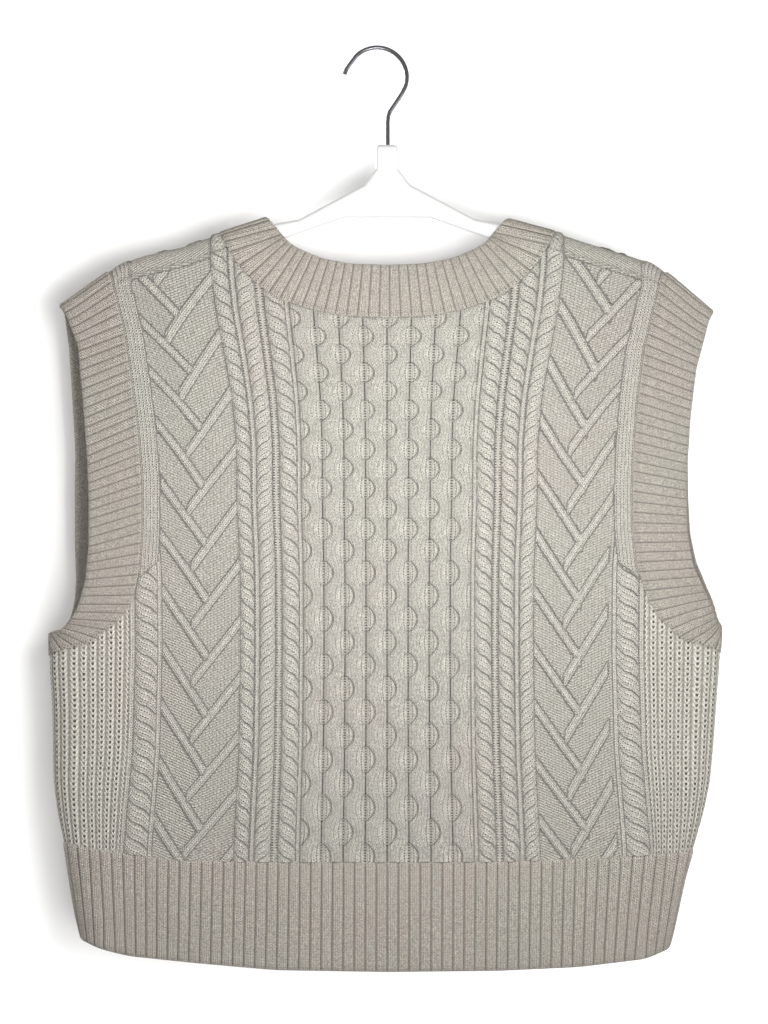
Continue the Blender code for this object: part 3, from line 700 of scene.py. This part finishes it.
class Knitting:
    """Relief, painted shade and stitches of a panel, filled in stitch pattern by stitch pattern."""

    def __init__(self, wide, height, shouldered):
        self.wide = wide
        self.height = height
        self.shouldered = shouldered
        self.lift = np.zeros(wide.shape)
        self.shade = np.zeros(wide.shape)
        self.wale = wide / WALE
        self.course = height / COURSE
        self.purl = np.ones(wide.shape)
        self.gap = np.full(wide.shape, 0.15)
        self.line = np.full(wide.shape, 0.5)
        self.line_depth = np.zeros(wide.shape)

    def draw_line(self, where, around, line, depth):
        """Thin crevice, darkened with painted shade, where the line field passes a whole number; it
        runs on all around.
        """
        self.line = np.where(around, line, self.line)
        self.line_depth = np.where(where, depth, self.line_depth)

    def put(self, where, lift, shade, wale, course, purl, gap):
        """Fill in a stitch pattern where it is worked."""
        self.gap = np.where(where, gap, self.gap)
        self.line_depth = np.where(where, 0.0, self.line_depth)
        self.lift = np.where(where, lift, self.lift)
        self.shade = np.where(where, shade, self.shade)
        self.purl = np.where(where, purl, self.purl)
        self.wale = np.where(where, wale, self.wale)
        self.course = np.where(where, course, self.course)

    def honeycomb(self):
        """Wavy strands that part and meet round cells, with a ladder down each cell."""
        turns = np.interp(self.height, CELL_HEIGHTS, np.arange(11, -1, -1))
        low, high = CELL_HEIGHTS[0], CELL_HEIGHTS[-1]
        turns += np.where(self.height > high, (high - self.height) / 25.5, 0.0)
        turns += np.where(self.height < low, (low - self.height) / 34.0, 0.0)
        column = np.floor(self.wide / GROOVE)
        from_left = self.wide - column * GROOVE
        from_right = GROOVE - from_left
        openings = []
        for groove in (column, column + 1):
            phase = (turns + 0.5 * (groove % 2) + 0.5) % 1.0 - 0.5
            openings.append(CELL_HALF * np.clip(1.0 - (phase / CELL_SHARE) ** 2, 0.0, 1.0) ** 0.8)
        open_left, open_right = openings

        # A strand stands up sharply from the cell on its left and sinks softly to its right.
        up = np.clip((from_left - open_left) / 4.4, 0.0, 1.0)
        blob = from_left / np.maximum(open_left, 0.5) * 2.0 - 1.15
        sharp = np.where(
            from_left < open_left,
            0.62 * np.clip(1.0 - blob ** 2, 0.0, 1.0) ** 0.7,
            np.sqrt(1.0 - (1.0 - up) ** 2),
        )
        soft = np.clip(from_right / (0.35 * open_right + 2.6), 0.0, 1.0) ** 0.6
        lift = 0.1 + STRAND_RISE * sharp * soft

        # Painted shade: a dark crevice where strands meet, a strong dark crescent on the right rim
        # of each cell and a faint one on its left, and a little shade over each cell's right half.
        on_left = from_left - open_left < from_right - open_right
        edge = np.where(on_left, from_left - open_left, open_right - from_right)
        opening = np.where(on_left, open_left, open_right)
        depth = 0.88 - np.clip(opening / 3.5, 0.0, 1.0) * np.where(on_left, 0.12, 0.78)
        depth = depth * np.clip((3.0 - np.abs(edge)) / 0.5, 0.0, 1.0)
        shade = np.maximum(0.25 * near(edge, 1.8) * depth, 0.1 * (from_left < open_left))

        # Painted shade in the holes of the ladder down each cell.
        ladder = near(np.minimum(from_left, from_right), 1.6) * np.clip(opening / 1.5, 0.0, 1.0)
        gap = np.clip(0.32 + 0.9 * ladder, 0.0, 1.0)
        swing = np.cos(2 * math.pi * turns) * STRAND_SWING * np.where(column % 2 == 0, 1.0, -1.0)
        bend = swing * np.sin(math.pi * from_left / GROOVE) ** 2
        wale = (self.wide - bend) / GROOVE * 6.0 + 0.5
        where = np.abs(self.wide) < HONEYCOMB_END
        self.put(where, lift, shade, wale, self.height / COURSE, 0.0, gap)
        around = np.abs(self.wide) < HONEYCOMB_END + 1.5
        self.draw_line(where, around, edge / LINE_REPEAT, depth)

    def rope(self, limits, left_lean, right_lean):
        """Twisted rope of two strands, on each half of the panel."""
        for side, lean in ((LEFT, left_lean), (RIGHT, right_lean)):
            inner, outer = limits
            half = (outer - inner) / 2
            x = (self.wide - side * (inner + outer) / 2) / half
            turn = np.interp(self.height, rope_heights, rope_turns)
            bow = x - 0.18 * np.sin(math.pi * x)
            turned = turn + lean * 0.52 * bow
            part = turned % 1.0
            strand = np.sin(math.pi * part) ** 0.5
            body = np.sqrt(np.clip(1.0 - (x / (0.84 + 0.16 * strand)) ** 2, 0.0, 1.0))
            to_line = np.minimum(part, 1.0 - part)
            fall = np.clip(0.5 + 0.5 * lean * x, 0.0, 1.0)
            lift = ROPE_BASE + body ** 0.8 * (ROPE_RISE - (0.35 + 0.85 * fall) * (1.0 - strand))
            # Painted shade along the lines where the strands cross, darker towards one side of the
            # rope.
            shade = 0.25 * near(to_line, 0.12) * fall
            along = self.height * 0.77 - lean * x * half * 0.64
            inside = np.abs(x) < 1.0
            self.put(inside, lift, shade, part * 3.0 + 0.5, along / COURSE, 0.0, 0.28)
            around = np.abs(x) < 1.0 + 1.2 / half
            self.draw_line(inside, around, turned, body ** 0.5 * (0.1 + 0.65 * fall ** 1.5))

    def gutter(self, low, high, dots):
        """Purl channel between ropes, with a ladder of gaps in it that are darkened with painted
        shade.
        """
        out = np.abs(self.wide)
        to_middle = out - (low + high) / 2
        middle = near(to_middle, (high - low) * 0.3)
        wale = to_middle / LADDER_APART + 1.0
        self.put(
            (out >= low) & (out < high), 0.5 - 0.2 * middle, 0.08, wale,
            self.height / COURSE, 0.3, dots,
        )

    def spine(self):
        """A narrow knit column with gaps at both sides, darkened with painted shade, where the pair
        of ropes meets.
        """
        out = np.abs(self.wide)
        low, high = INNER_ROPE[1], OUTER_ROPE[0]
        x = (out - (low + high) / 2) / ((high - low) / 2)
        lift = 0.6 * np.sqrt(np.clip(1.0 - x ** 2, 0.0, 1.0))
        wale = (out - (low + high) / 2) / LADDER_APART + 1.0
        self.put(np.abs(x) < 1.0, lift, 0.1, wale, self.height / COURSE, 0.0, 0.7)

    def travelling_ribs(self):
        """Two-stitch ribs that travel from both edges of a purl panel and interlock."""
        for side in (LEFT, RIGHT):
            low, high = CHEVRON
            start = -high if side == LEFT else low
            across = self.wide - start
            where = (across > 0.0) & (across < high - low) & ~self.shouldered
            slope = np.abs(across - 27.0) * 0.42
            course = (self.height - slope) / COURSE
            # The purl ground, with a faint painted shade.
            self.put(where, GROUND, 0.03, self.wide / WALE, course, 1.0, 0.2)
            for first, top, fall, last in CHEVRON_RIBS[side]:
                towards = 1.0 if last > first else -1.0
                steep = abs(fall)
                run = (across - first) * towards
                length = abs(last - first)
                lower = top - steep * run - self.height
                off = (lower + CHEVRON_REPEAT / 2) % CHEVRON_REPEAT - CHEVRON_REPEAT / 2
                slant = math.hypot(1.0, steep)
                off = off / slant
                inside = (run > -2.0) & (run < length) & where
                end = np.clip(np.minimum(run + 2.0, length - run) / 2.5, 0.0, 1.0)
                body = np.clip(1.0 - (off / CHEVRON_HALF) ** 2, 0.0, 1.0) ** 0.6 * np.sqrt(end)
                lift = GROUND + CHEVRON_RISE * body - 0.15 * near(off, 0.5) * body
                edge = np.abs(off) - CHEVRON_HALF
                close = inside & (np.abs(edge) < 1.6) & (lift >= self.lift - 0.02)
                higher = inside & (edge < 0.0) & (lift > self.lift)
                along = (self.height * steep + run * -1.0) / slant
                self.put(higher, lift, 0.0, off / WALE * 0.9 + 1.0, along / COURSE, 0.0, 0.2)
                # Painted shade in a thin crevice along each rib's edges.
                self.draw_line(close, close, edge / LINE_REPEAT, 0.3 * np.sqrt(end))

    def fishermans_rib(self):
        """Deep ribs down the sides, with a tuck in every other row of each column."""
        out = np.abs(self.wide)
        part = ((out - SIDE_RIB_FROM) / SIDE_RIB_REPEAT) % 1.0
        off = np.minimum(part, 1.0 - part)
        lift = 1.1 * np.clip(1.0 - (off / 0.42) ** 2, 0.0, 1.0) ** 0.6 - 0.3 * near(off, 0.12)
        # Painted shade in the grooves between the columns, and dark tuck holes down their middles
        # as painted shade.
        shade = 0.5 * np.clip((off - 0.3) / 0.15, 0.0, 1.0)
        side = np.where(part < 0.5, 1.0, -1.0)
        gap = 0.48 * np.clip(1.0 - (off / 0.4) ** 2, 0.0, 1.0)
        wale = side * off / 0.85 + 0.5
        self.put(out > SIDE_RIB_FROM, lift, shade, wale, self.height / TUCK_REPEAT, 0.0, gap)

    def selvedge(self, inwards):
        """Plain knit strip that follows each armhole."""
        where = (inwards < SELVEDGE) & (self.height > SELVEDGE_END + 0.9 * (inwards - 6.0))
        plain = 0.75 * np.clip((SELVEDGE - inwards) / 1.5, 0.2, 1.0) ** 0.5
        # Painted shade in the crease along the selvedge's inner edge.
        crease = near(inwards - SELVEDGE, 0.9)
        self.put(where, plain, 0.3 * crease, inwards / WALE, self.height / COURSE, 0.0, 0.4)


def outline_crossings(outline, height):
    """Sorted places at which an outline crosses a height."""
    start, end = outline, np.roll(outline, -1, axis=0)
    cut = (start[:, 1] > height) != (end[:, 1] > height)
    start, end = start[cut], end[cut]
    share = (height - start[:, 1]) / (end[:, 1] - start[:, 1])
    return np.sort(start[:, 0] + share * (end[:, 0] - start[:, 0]))


def nearest_on(outline, spots):
    """Nearest point of an outline to each spot."""
    start = outline
    along = np.roll(outline, -1, axis=0) - start
    square = np.maximum((along ** 2).sum(axis=1), 1e-9)
    found = np.empty_like(spots)
    for first in range(0, len(spots), 400):
        some = spots[first:first + 400, None, :]
        share = np.clip(((some - start) * along).sum(axis=2) / square, 0.0, 1.0)
        there = start + share[..., None] * along
        best = ((some - there) ** 2).sum(axis=2).argmin(axis=1)
        found[first:first + 400] = there[np.arange(len(best)), best]
    return found


def walk_round(faces):
    """Loops of points round the outside of some quads."""
    edges = np.concatenate([faces[:, [i, (i + 1) % 4]] for i in range(4)])
    known = set(map(tuple, edges.tolist()))
    ahead = {a: b for a, b in known if (b, a) not in known}
    loops = []
    while ahead:
        first, here = next(iter(ahead.items()))
        del ahead[first]
        loop = [first]
        while here != first and here in ahead:
            loop.append(here)
            here = ahead.pop(here)
        loops.append(loop)
    return max(loops, key=len)


def knit_panel(name, layer, outline, arm_seams):
    """Panel in its knit patterns, as a left, a middle and a right piece of closed cloth."""
    pitch = BODY_PITCH[layer]
    shape = np.stack([wide_of(outline[:, 0], outline[:, 1]), outline[:, 1]], axis=1)
    columns = int(SIDE_AT / pitch) + 2
    wide = np.arange(-columns, columns + 1) * pitch
    bottom = shape[:, 1].min() - 2 * pitch
    height = np.arange(bottom, shape[:, 1].max() + 2 * pitch, pitch)
    mid_wide = wide[:-1] + pitch / 2
    cells = np.zeros((len(height) - 1, len(mid_wide)), bool)
    for row, level in enumerate(height[:-1] + pitch / 2):
        cells[row] = np.searchsorted(outline_crossings(shape, level), mid_wide) % 2 == 1
    for _ in range(2):
        a, b, c, d = cells[:-1, :-1], cells[:-1, 1:], cells[1:, :-1], cells[1:, 1:]
        pinch = (a & d & ~b & ~c) | (b & c & ~a & ~d)
        for block in (a, b, c, d):
            block |= pinch
    index = np.arange(len(height) * len(wide)).reshape(len(height), len(wide))
    quads = np.stack([index[:-1, :-1], index[:-1, 1:], index[1:, 1:], index[1:, :-1]], axis=-1)
    faces = quads[cells]
    spots = np.stack(np.meshgrid(wide, height), axis=-1).reshape(-1, 2)
    count = np.bincount(faces.ravel(), minlength=len(spots))
    rim = np.flatnonzero((count > 0) & (count < 4))
    spots[rim] = nearest_on(shape, spots[rim])

    # How many rows of cells a point lies inside the seams, up to three.
    inner = np.zeros(len(spots))
    core = cells.copy()
    for _ in range(3):
        padded = np.pad(core, 1)
        core = core & padded[:-2, 1:-1] & padded[2:, 1:-1] & padded[1:-1, :-2] & padded[1:-1, 2:]
        inner[np.unique(quads[core])] += 1.0

    used = np.unique(faces)
    wide_used, height_used = spots[used].T
    across = across_of(wide_used, height_used)
    top = SHOULDER_SEAM + 3.0 if layer == BACK else 2.0
    knitting = Knitting(wide_used, height_used, shoulder_line(across) - height_used < top)
    knitting.gutter(HONEYCOMB_END, SINGLE_ROPE[0], 0.75)
    knitting.gutter(SINGLE_ROPE[1], INNER_ROPE[0], 0.8)
    knitting.honeycomb()
    knitting.rope(SINGLE_ROPE, 1, 1)
    knitting.rope(INNER_ROPE, -1, 1)
    knitting.rope(OUTER_ROPE, 1, -1)
    knitting.spine()
    knitting.travelling_ribs()
    knitting.gutter(CHEVRON[1], SIDE_ROPE[0], 0.45)
    knitting.gutter(SIDE_ROPE[1], SIDE_RIB_FROM, 0.45)
    knitting.fishermans_rib()
    knitting.rope(SIDE_ROPE, 1, 1)
    inwards = np.full(across.shape, 1e3)
    for side in (LEFT, RIGHT):
        seam = arm_seams[side]
        order = np.argsort(seam[:, 1])
        at = np.interp(knitting.height, seam[order, 1], np.abs(seam[order, 0]))
        inwards = np.where(across * side > 0, at - np.abs(across), inwards)
    knitting.selvedge(inwards)

    hem_top = np.interp(across, hem_seam_line[:, 0], hem_seam_line[:, 1])
    # Near the seams the relief sinks and the crease there is darkened with painted shade.
    seam_dip = np.where(height_used < hem_top + 6.0, 0.0, 1.0 - inner[used] / 3.0)
    lift = knitting.lift * (1.0 - 0.75 * seam_dip ** 2) + BODY_BASE
    shade = np.clip(knitting.shade * (1.0 - seam_dip) + 0.5 * seam_dip ** 2, 0.0, 1.0)
    points = np.zeros((len(spots), 3))
    points[used] = off_cloth(across, knitting.height, np.full(len(used), layer), lift)
    stitch = np.zeros((len(spots), 3))
    stitch[used] = np.stack([knitting.wale, knitting.course, knitting.purl], axis=1)
    shades = np.zeros(len(spots))
    shades[used] = shade
    marks = np.zeros((len(spots), 3))
    line_depth = knitting.line_depth * (1.0 - seam_dip)
    marks[used] = np.stack([knitting.line, line_depth, knitting.gap], axis=1)

    middle = spots[faces].mean(axis=1)[:, 0]
    for part, chosen in (
        ("left", middle < -SPLIT),
        ("middle", np.abs(middle) <= SPLIT),
        ("right", middle > SPLIT),
    ):
        values = {"stitch": stitch, "shade": shades, "marks": marks}
        knit_part(f"{name}_{part}", name, layer, faces[chosen], spots, points, values)


INSIDE_GRID = 7.0


def knit_part(name, node, layer, faces, spots, points, values):
    """One part of a panel: its fine outer face, its rim and a plain inner face."""
    loop = walk_round(faces)
    used = np.unique(faces)
    renumber = np.zeros(len(spots), int)
    renumber[used] = np.arange(len(used))
    outer = renumber[faces]
    ring_points = spots[loop]
    low, high = ring_points.min(axis=0), ring_points.max(axis=0)
    grid = []
    for level in np.arange(low[1] + INSIDE_GRID, high[1], INSIDE_GRID):
        crossings = outline_crossings(ring_points, level)
        for place in np.arange(low[0] + INSIDE_GRID / 2, high[0], INSIDE_GRID):
            clear = np.abs(crossings - place).min() > 2.0
            if clear and np.searchsorted(crossings, place) % 2 == 1:
                grid.append((place, level))
    flat = [Vector(spot) for spot in np.concatenate([ring_points, np.array(grid)]).tolist()]
    places, _, triangles, origins, *_ = delaunay_2d_cdt(flat, [], [list(range(len(loop)))], 1, 1e-4)
    places = np.array([tuple(place) for place in places])
    first = len(used)
    across = across_of(places[:, 0], places[:, 1])
    whole = np.ones(len(places))
    inside = off_cloth(across, places[:, 1], whole * layer, whole * (BODY_BASE - BODY_WALL))
    inner_of = {}
    for new, old in enumerate(origins):
        for each in old:
            inner_of[each] = first + new
    all_faces = outer.tolist() if layer == BACK else outer[:, ::-1].tolist()
    for triangle in triangles:
        corners = [first + corner for corner in triangle]
        all_faces.append(corners[::-1] if layer == BACK else corners)
    for i in range(len(loop)):
        j = (i + 1) % len(loop)
        a, b = renumber[loop[i]], renumber[loop[j]]
        c, d = inner_of[j], inner_of[i]
        corners = [b, a, d, c] if c != d else [b, a, d]
        all_faces.append([int(k) for k in (corners if layer == BACK else corners[::-1])])
    placed = np.concatenate([points[used], inside])
    inner_stitch = np.stack(
        [places[:, 0] / WALE, places[:, 1] / COURSE, np.full(len(places), 0.7)], axis=1
    )
    # The inner face is darkened a little with painted shade.
    attributes = {
        "stitch": np.concatenate([values["stitch"][used], inner_stitch]),
        "shade": np.concatenate([values["shade"][used], np.full(len(places), 0.15)]),
        "marks": np.concatenate([values["marks"][used], np.zeros((len(places), 3))]),
    }
    piece = new_mesh(name, placed, all_faces, attributes, body_knit)
    rim = {tuple(sorted((renumber[loop[i]], renumber[loop[i - 1]]))) for i in range(len(loop))}
    sharp = piece.data.attributes.new("sharp_edge", "BOOLEAN", "EDGE")
    ends = np.zeros(len(piece.data.edges) * 2, int)
    piece.data.edges.foreach_get("vertices", ends)
    marks = [tuple(sorted(pair)) in rim for pair in ends.reshape(-1, 2).tolist()]
    sharp.data.foreach_set("value", marks)
    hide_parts(node)
    size = high - low
    turned = np.roll(ring_points, -1, axis=0)
    area = abs((ring_points[:, 0] * turned[:, 1] - ring_points[:, 1] * turned[:, 0]).sum() / 2)
    size[0] * MM
    size[1] * MM
    area * MM * MM


def side_edge(side, low, high):
    """Points up the side edge of a panel, between two heights."""
    heights = np.arange(low + 2.0, high - 1.0, 2.0)
    return np.stack([side * side_limit(heights, side), heights], axis=1)


def past_seam(seam, drop):
    """The part of a flat line, drawn from the shoulder down, below a drop."""
    return seam[shoulder_line(seam[:, 0]) - seam[:, 1] > drop]


def over_shoulder(seam, drop):
    """The part of a back line above a drop, as drawn past the shoulder line of the front."""
    line = shoulder_line(seam[:, 0])
    kept = line - seam[:, 1] < drop
    return np.stack([seam[kept, 0], 2 * line[kept] - seam[kept, 1]], axis=1)


def shoulder_seam(first, last, drop):
    """Points along a shoulder seam between the ends of two lines."""
    across = np.linspace(first, last, 60)[1:-1]
    return np.stack([across, shoulder_line(across) - drop], axis=1)


hem_seam_line = hem_pairs[:, 1]
limited = {}
for key, pairs in arm_pairs.items():
    seam = pairs[:, 1].copy()
    limit = side_limit(seam[:, 1], key[0])
    seam[:, 0] = np.sign(seam[:, 0]) * np.minimum(np.abs(seam[:, 0]), limit)
    limited[key] = seam



def body_outline(arms, necks, drop):
    """Way round a body panel, from the hem up the right side and down the left."""
    return np.concatenate(
        [
            hem_seam_line,
            side_edge(RIGHT, hem_seam_line[-1, 1], arms[RIGHT][-1, 1]),
            arms[RIGHT][::-1],
            shoulder_seam(arms[RIGHT][0, 0], necks[RIGHT][0, 0], drop),
            necks[RIGHT],
            necks[LEFT][-2::-1],
            shoulder_seam(necks[LEFT][0, 0], arms[LEFT][0, 0], drop),
            arms[LEFT],
            side_edge(LEFT, hem_seam_line[0, 1], arms[LEFT][-1, 1])[::-1],
        ]
    )


arms = {side: past_seam(limited[side, BACK], SHOULDER_SEAM) for side in (LEFT, RIGHT)}
necks = {side: past_seam(neck_back_pairs[side][:, 1], SHOULDER_SEAM) for side in (LEFT, RIGHT)}
knit_panel("back_panel", BACK, body_outline(arms, necks, SHOULDER_SEAM), arms)

for side in (LEFT, RIGHT):
    arm_over = over_shoulder(limited[side, BACK], SHOULDER_SEAM)[::-1]
    neck_over = over_shoulder(neck_back_pairs[side][:, 1], SHOULDER_SEAM)[::-1]
    arms[side] = np.concatenate([arm_over, limited[side, FRONT][1:]])
    necks[side] = np.concatenate([neck_over, neck_front_pairs[side][1:, 1]])
knit_panel("front_panel", FRONT, body_outline(arms, necks, -SHOULDER_SEAM), arms)

# ---------------------------------------------------------------------------------------
# The hanger: a slim white moulded hanger with a hub for the hook, its edges rounded.  Its
# arms slope down inside the shoulders and carry the cloth.
# ---------------------------------------------------------------------------------------
white = bpy.data.materials.new("hanger_white")
white.use_nodes = True
shader = white.node_tree.nodes["Principled BSDF"]
start = Wire(white.node_tree)
place = start.node("ShaderNodeTexCoord", output="Object")
grain = start.node("ShaderNodeTexNoise", {"Vector": place, "Scale": 900.0, "Detail": 2.0})
cloudy = start.node("ShaderNodeTexNoise", {"Vector": place, "Scale": 40.0, "Detail": 3.0})
plastic = cloudy.mixed((0.80, 0.80, 0.79, 1.0), (0.86, 0.86, 0.85, 1.0))
bump = start.node("ShaderNodeBump", {"Strength": 0.4, "Distance": 0.0001, "Height": grain})
white.node_tree.links.new(plastic.socket, shader.inputs["Base Color"])
white.node_tree.links.new(bump.socket, shader.inputs["Normal"])
white.node_tree.links.new((cloudy * 0.15 + 0.35).socket, shader.inputs["Roughness"])
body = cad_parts["hanger_body"]
body.material_slots[0].material = white

# ---------------------------------------------------------------------------------------
# The hook: drawn steel wire, bent to a crown that hangs on a rail, polished dark and let
# into the hanger's hub.
# ---------------------------------------------------------------------------------------
HOOK_WIRE = 3.0
HOOK_RADIUS = 21.0

steel = bpy.data.materials.new("hook_steel")
steel.use_nodes = True
shader = steel.node_tree.nodes["Principled BSDF"]
start = Wire(steel.node_tree)
place = start.node("ShaderNodeTexCoord", output="Object")
scratch = start.node("ShaderNodeTexNoise", {"Vector": place, "Scale": 700.0, "Detail": 3.0})
tint = scratch.mixed((0.13, 0.13, 0.14, 1.0), (0.24, 0.24, 0.25, 1.0))
steel.node_tree.links.new(tint.socket, shader.inputs["Base Color"])
steel.node_tree.links.new((scratch * 0.2 + 0.12).socket, shader.inputs["Roughness"])
shader.inputs["Metallic"].default_value = 1.0

route = [(-22.8, -17.4), (-21.6, -14.2), (-19.0, -10.4)]
centre_height = HOOK_WIRE / 2 - HOOK_RADIUS
for angle in np.radians(np.linspace(132, -20, 25)):
    route.append((HOOK_RADIUS * math.cos(angle), centre_height + HOOK_RADIUS * math.sin(angle)))
route += [(18.0, -30.2), (14.6, -35.6), (10.7, -41.2), (8.8, -44.2), (7.8, -47.2), (7.5, -51.0)]
route += [(7.5, -58.0), (7.5, -68.0)]
curve = bpy.data.curves.new("hanger_hook_wire", "CURVE")
curve.dimensions = "3D"
curve.bevel_depth = HOOK_WIRE / 2 * MM
curve.bevel_resolution = 5
curve.use_fill_caps = True
curve.resolution_u = 4
spline = curve.splines.new("NURBS")
spline.order_u = 4
spline.use_endpoint_u = True
spline.points.add(len(route) - 1)
for point, (x, height) in zip(spline.points, route):
    point.co = (x * MM, 0.0, height * MM, 1.0)
curve.materials.append(steel)
hook = bpy.data.objects.new("hanger_hook_wire", curve)
bpy.context.collection.objects.link(hook)
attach(hook, "root")
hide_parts("hanger_hook")

# ---------------------------------------------------------------------------------------
# The studio: a pale sweep close behind the vest that runs down to a floor, a soft light
# from the right, a fill in front, and an even pale surround.
# ---------------------------------------------------------------------------------------
WALL_Y = 0.036
FLOOR_Z = -1.25
WALL_TOP = 2.2
SWEEP_RADIUS = 0.5
SWEEP_HALF = 3.0
FLOOR_REACH = 5.0

section = [(WALL_Y, WALL_TOP), (WALL_Y, FLOOR_Z + SWEEP_RADIUS)]
for angle in np.radians(np.linspace(10, 90, 9)):
    section.append(
        (
            WALL_Y - SWEEP_RADIUS * (1 - math.cos(angle)),
            FLOOR_Z + SWEEP_RADIUS * (1 - math.sin(angle)),
        )
    )
section.append((-FLOOR_REACH, FLOOR_Z))
corners = [(side * SWEEP_HALF, y, z) for y, z in section for side in (-1, 1)]
mesh = bpy.data.meshes.new("sweep")
strips = [(i, i + 2, i + 3, i + 1) for i in range(0, 2 * len(section) - 2, 2)]
mesh.from_pydata(corners, [], strips)
mesh.shade_smooth()
paper = bpy.data.materials.new("paper")
paper.use_nodes = True
tree = paper.node_tree
shader = tree.nodes["Principled BSDF"]
shader.inputs["Base Color"].default_value = (0.82, 0.82, 0.82, 1.0)
shader.inputs["Roughness"].default_value = 1.0
shader.inputs["Specular IOR Level"].default_value = 0.0
shader.inputs["Emission Color"].default_value = (1.0, 1.0, 1.0, 1.0)
shader.inputs["Emission Strength"].default_value = 0.06
start = Wire(tree)
behind = start.node("ShaderNodeNewGeometry", output="Backfacing")
clear = start.node("ShaderNodeBsdfTransparent")
facing = Wire(tree, shader.outputs[0])
both = start.node("ShaderNodeMixShader", {0: behind, 1: facing, 2: clear})
tree.links.new(both.socket, tree.nodes["Material Output"].inputs["Surface"])
mesh.materials.append(paper)


def staged(name, mesh):
    """Backdrop that is only seen, and neither shades nor lights the vest."""
    backdrop = bpy.data.objects.new(name, mesh)
    backdrop.visible_shadow = False
    backdrop.visible_diffuse = False
    backdrop.visible_glossy = False
    bpy.context.collection.objects.link(backdrop)
    return backdrop


sweep = staged("sweep", mesh)

SURROUND = 9.0
ball = bpy.data.meshes.new("surround")
shape = bmesh.new()
bmesh.ops.create_icosphere(shape, subdivisions=4, radius=SURROUND)
shape.to_mesh(ball)
shape.free()
haze = bpy.data.materials.new("haze")
haze.use_nodes = True
shader = haze.node_tree.nodes["Principled BSDF"]
shader.inputs["Base Color"].default_value = (0.0, 0.0, 0.0, 1.0)
shader.inputs["Specular IOR Level"].default_value = 0.0
shader.inputs["Emission Color"].default_value = (0.93, 0.93, 0.93, 1.0)
shader.inputs["Emission Strength"].default_value = 1.0
ball.materials.append(haze)
staged("surround", ball)

world = bpy.data.worlds.new("surround")
world.use_nodes = True
world.node_tree.nodes["Background"].inputs[0].default_value = (1.0, 1.0, 1.0, 1.0)
world.node_tree.nodes["Background"].inputs[1].default_value = 0.5
bpy.context.scene.world = world
bpy.context.scene.view_settings.view_transform = "Standard"


def soft_light(name, place, target, size, watts):
    """Square soft light that looks at a target."""
    data = bpy.data.lights.new(name, "AREA")
    data.shape = "SQUARE"
    data.size = size
    data.energy = watts
    lamp = bpy.data.objects.new(name, data)
    lamp.location = place
    lamp.rotation_euler = (Vector(target) - Vector(place)).to_track_quat("-Z", "Y").to_euler()
    bpy.context.collection.objects.link(lamp)


soft_light("key", (1.05, -0.8, -0.6), (0.03, 0.0, -0.33), 0.35, 4.0)
soft_light("centre", (0.03, -0.44, -0.27), (0.03, 0.0, -0.30), 0.2, 1.9)
soft_light("front_key", (-1.0, 1.5, 0.2), (0.0, 0.0, -0.35), 0.6, 22.0)
soft_light("front_fill", (0.9, 1.6, -0.3), (0.0, 0.0, -0.35), 0.9, 12.0)

# One wide even light for the paper alone, from the right and a little from below.
sun_data = bpy.data.lights.new("paper_light", "SUN")
sun_data.energy = 2.25
sun_data.angle = math.radians(50)
sun = bpy.data.objects.new("paper_light", sun_data)
sun.rotation_euler = Vector((-0.5, 1.0, 0.28)).to_track_quat("-Z", "Y").to_euler()
bpy.context.collection.objects.link(sun)
lit = bpy.data.collections.new("paper_only")
lit.objects.link(sweep)
sun.light_linking.receiver_collection = lit
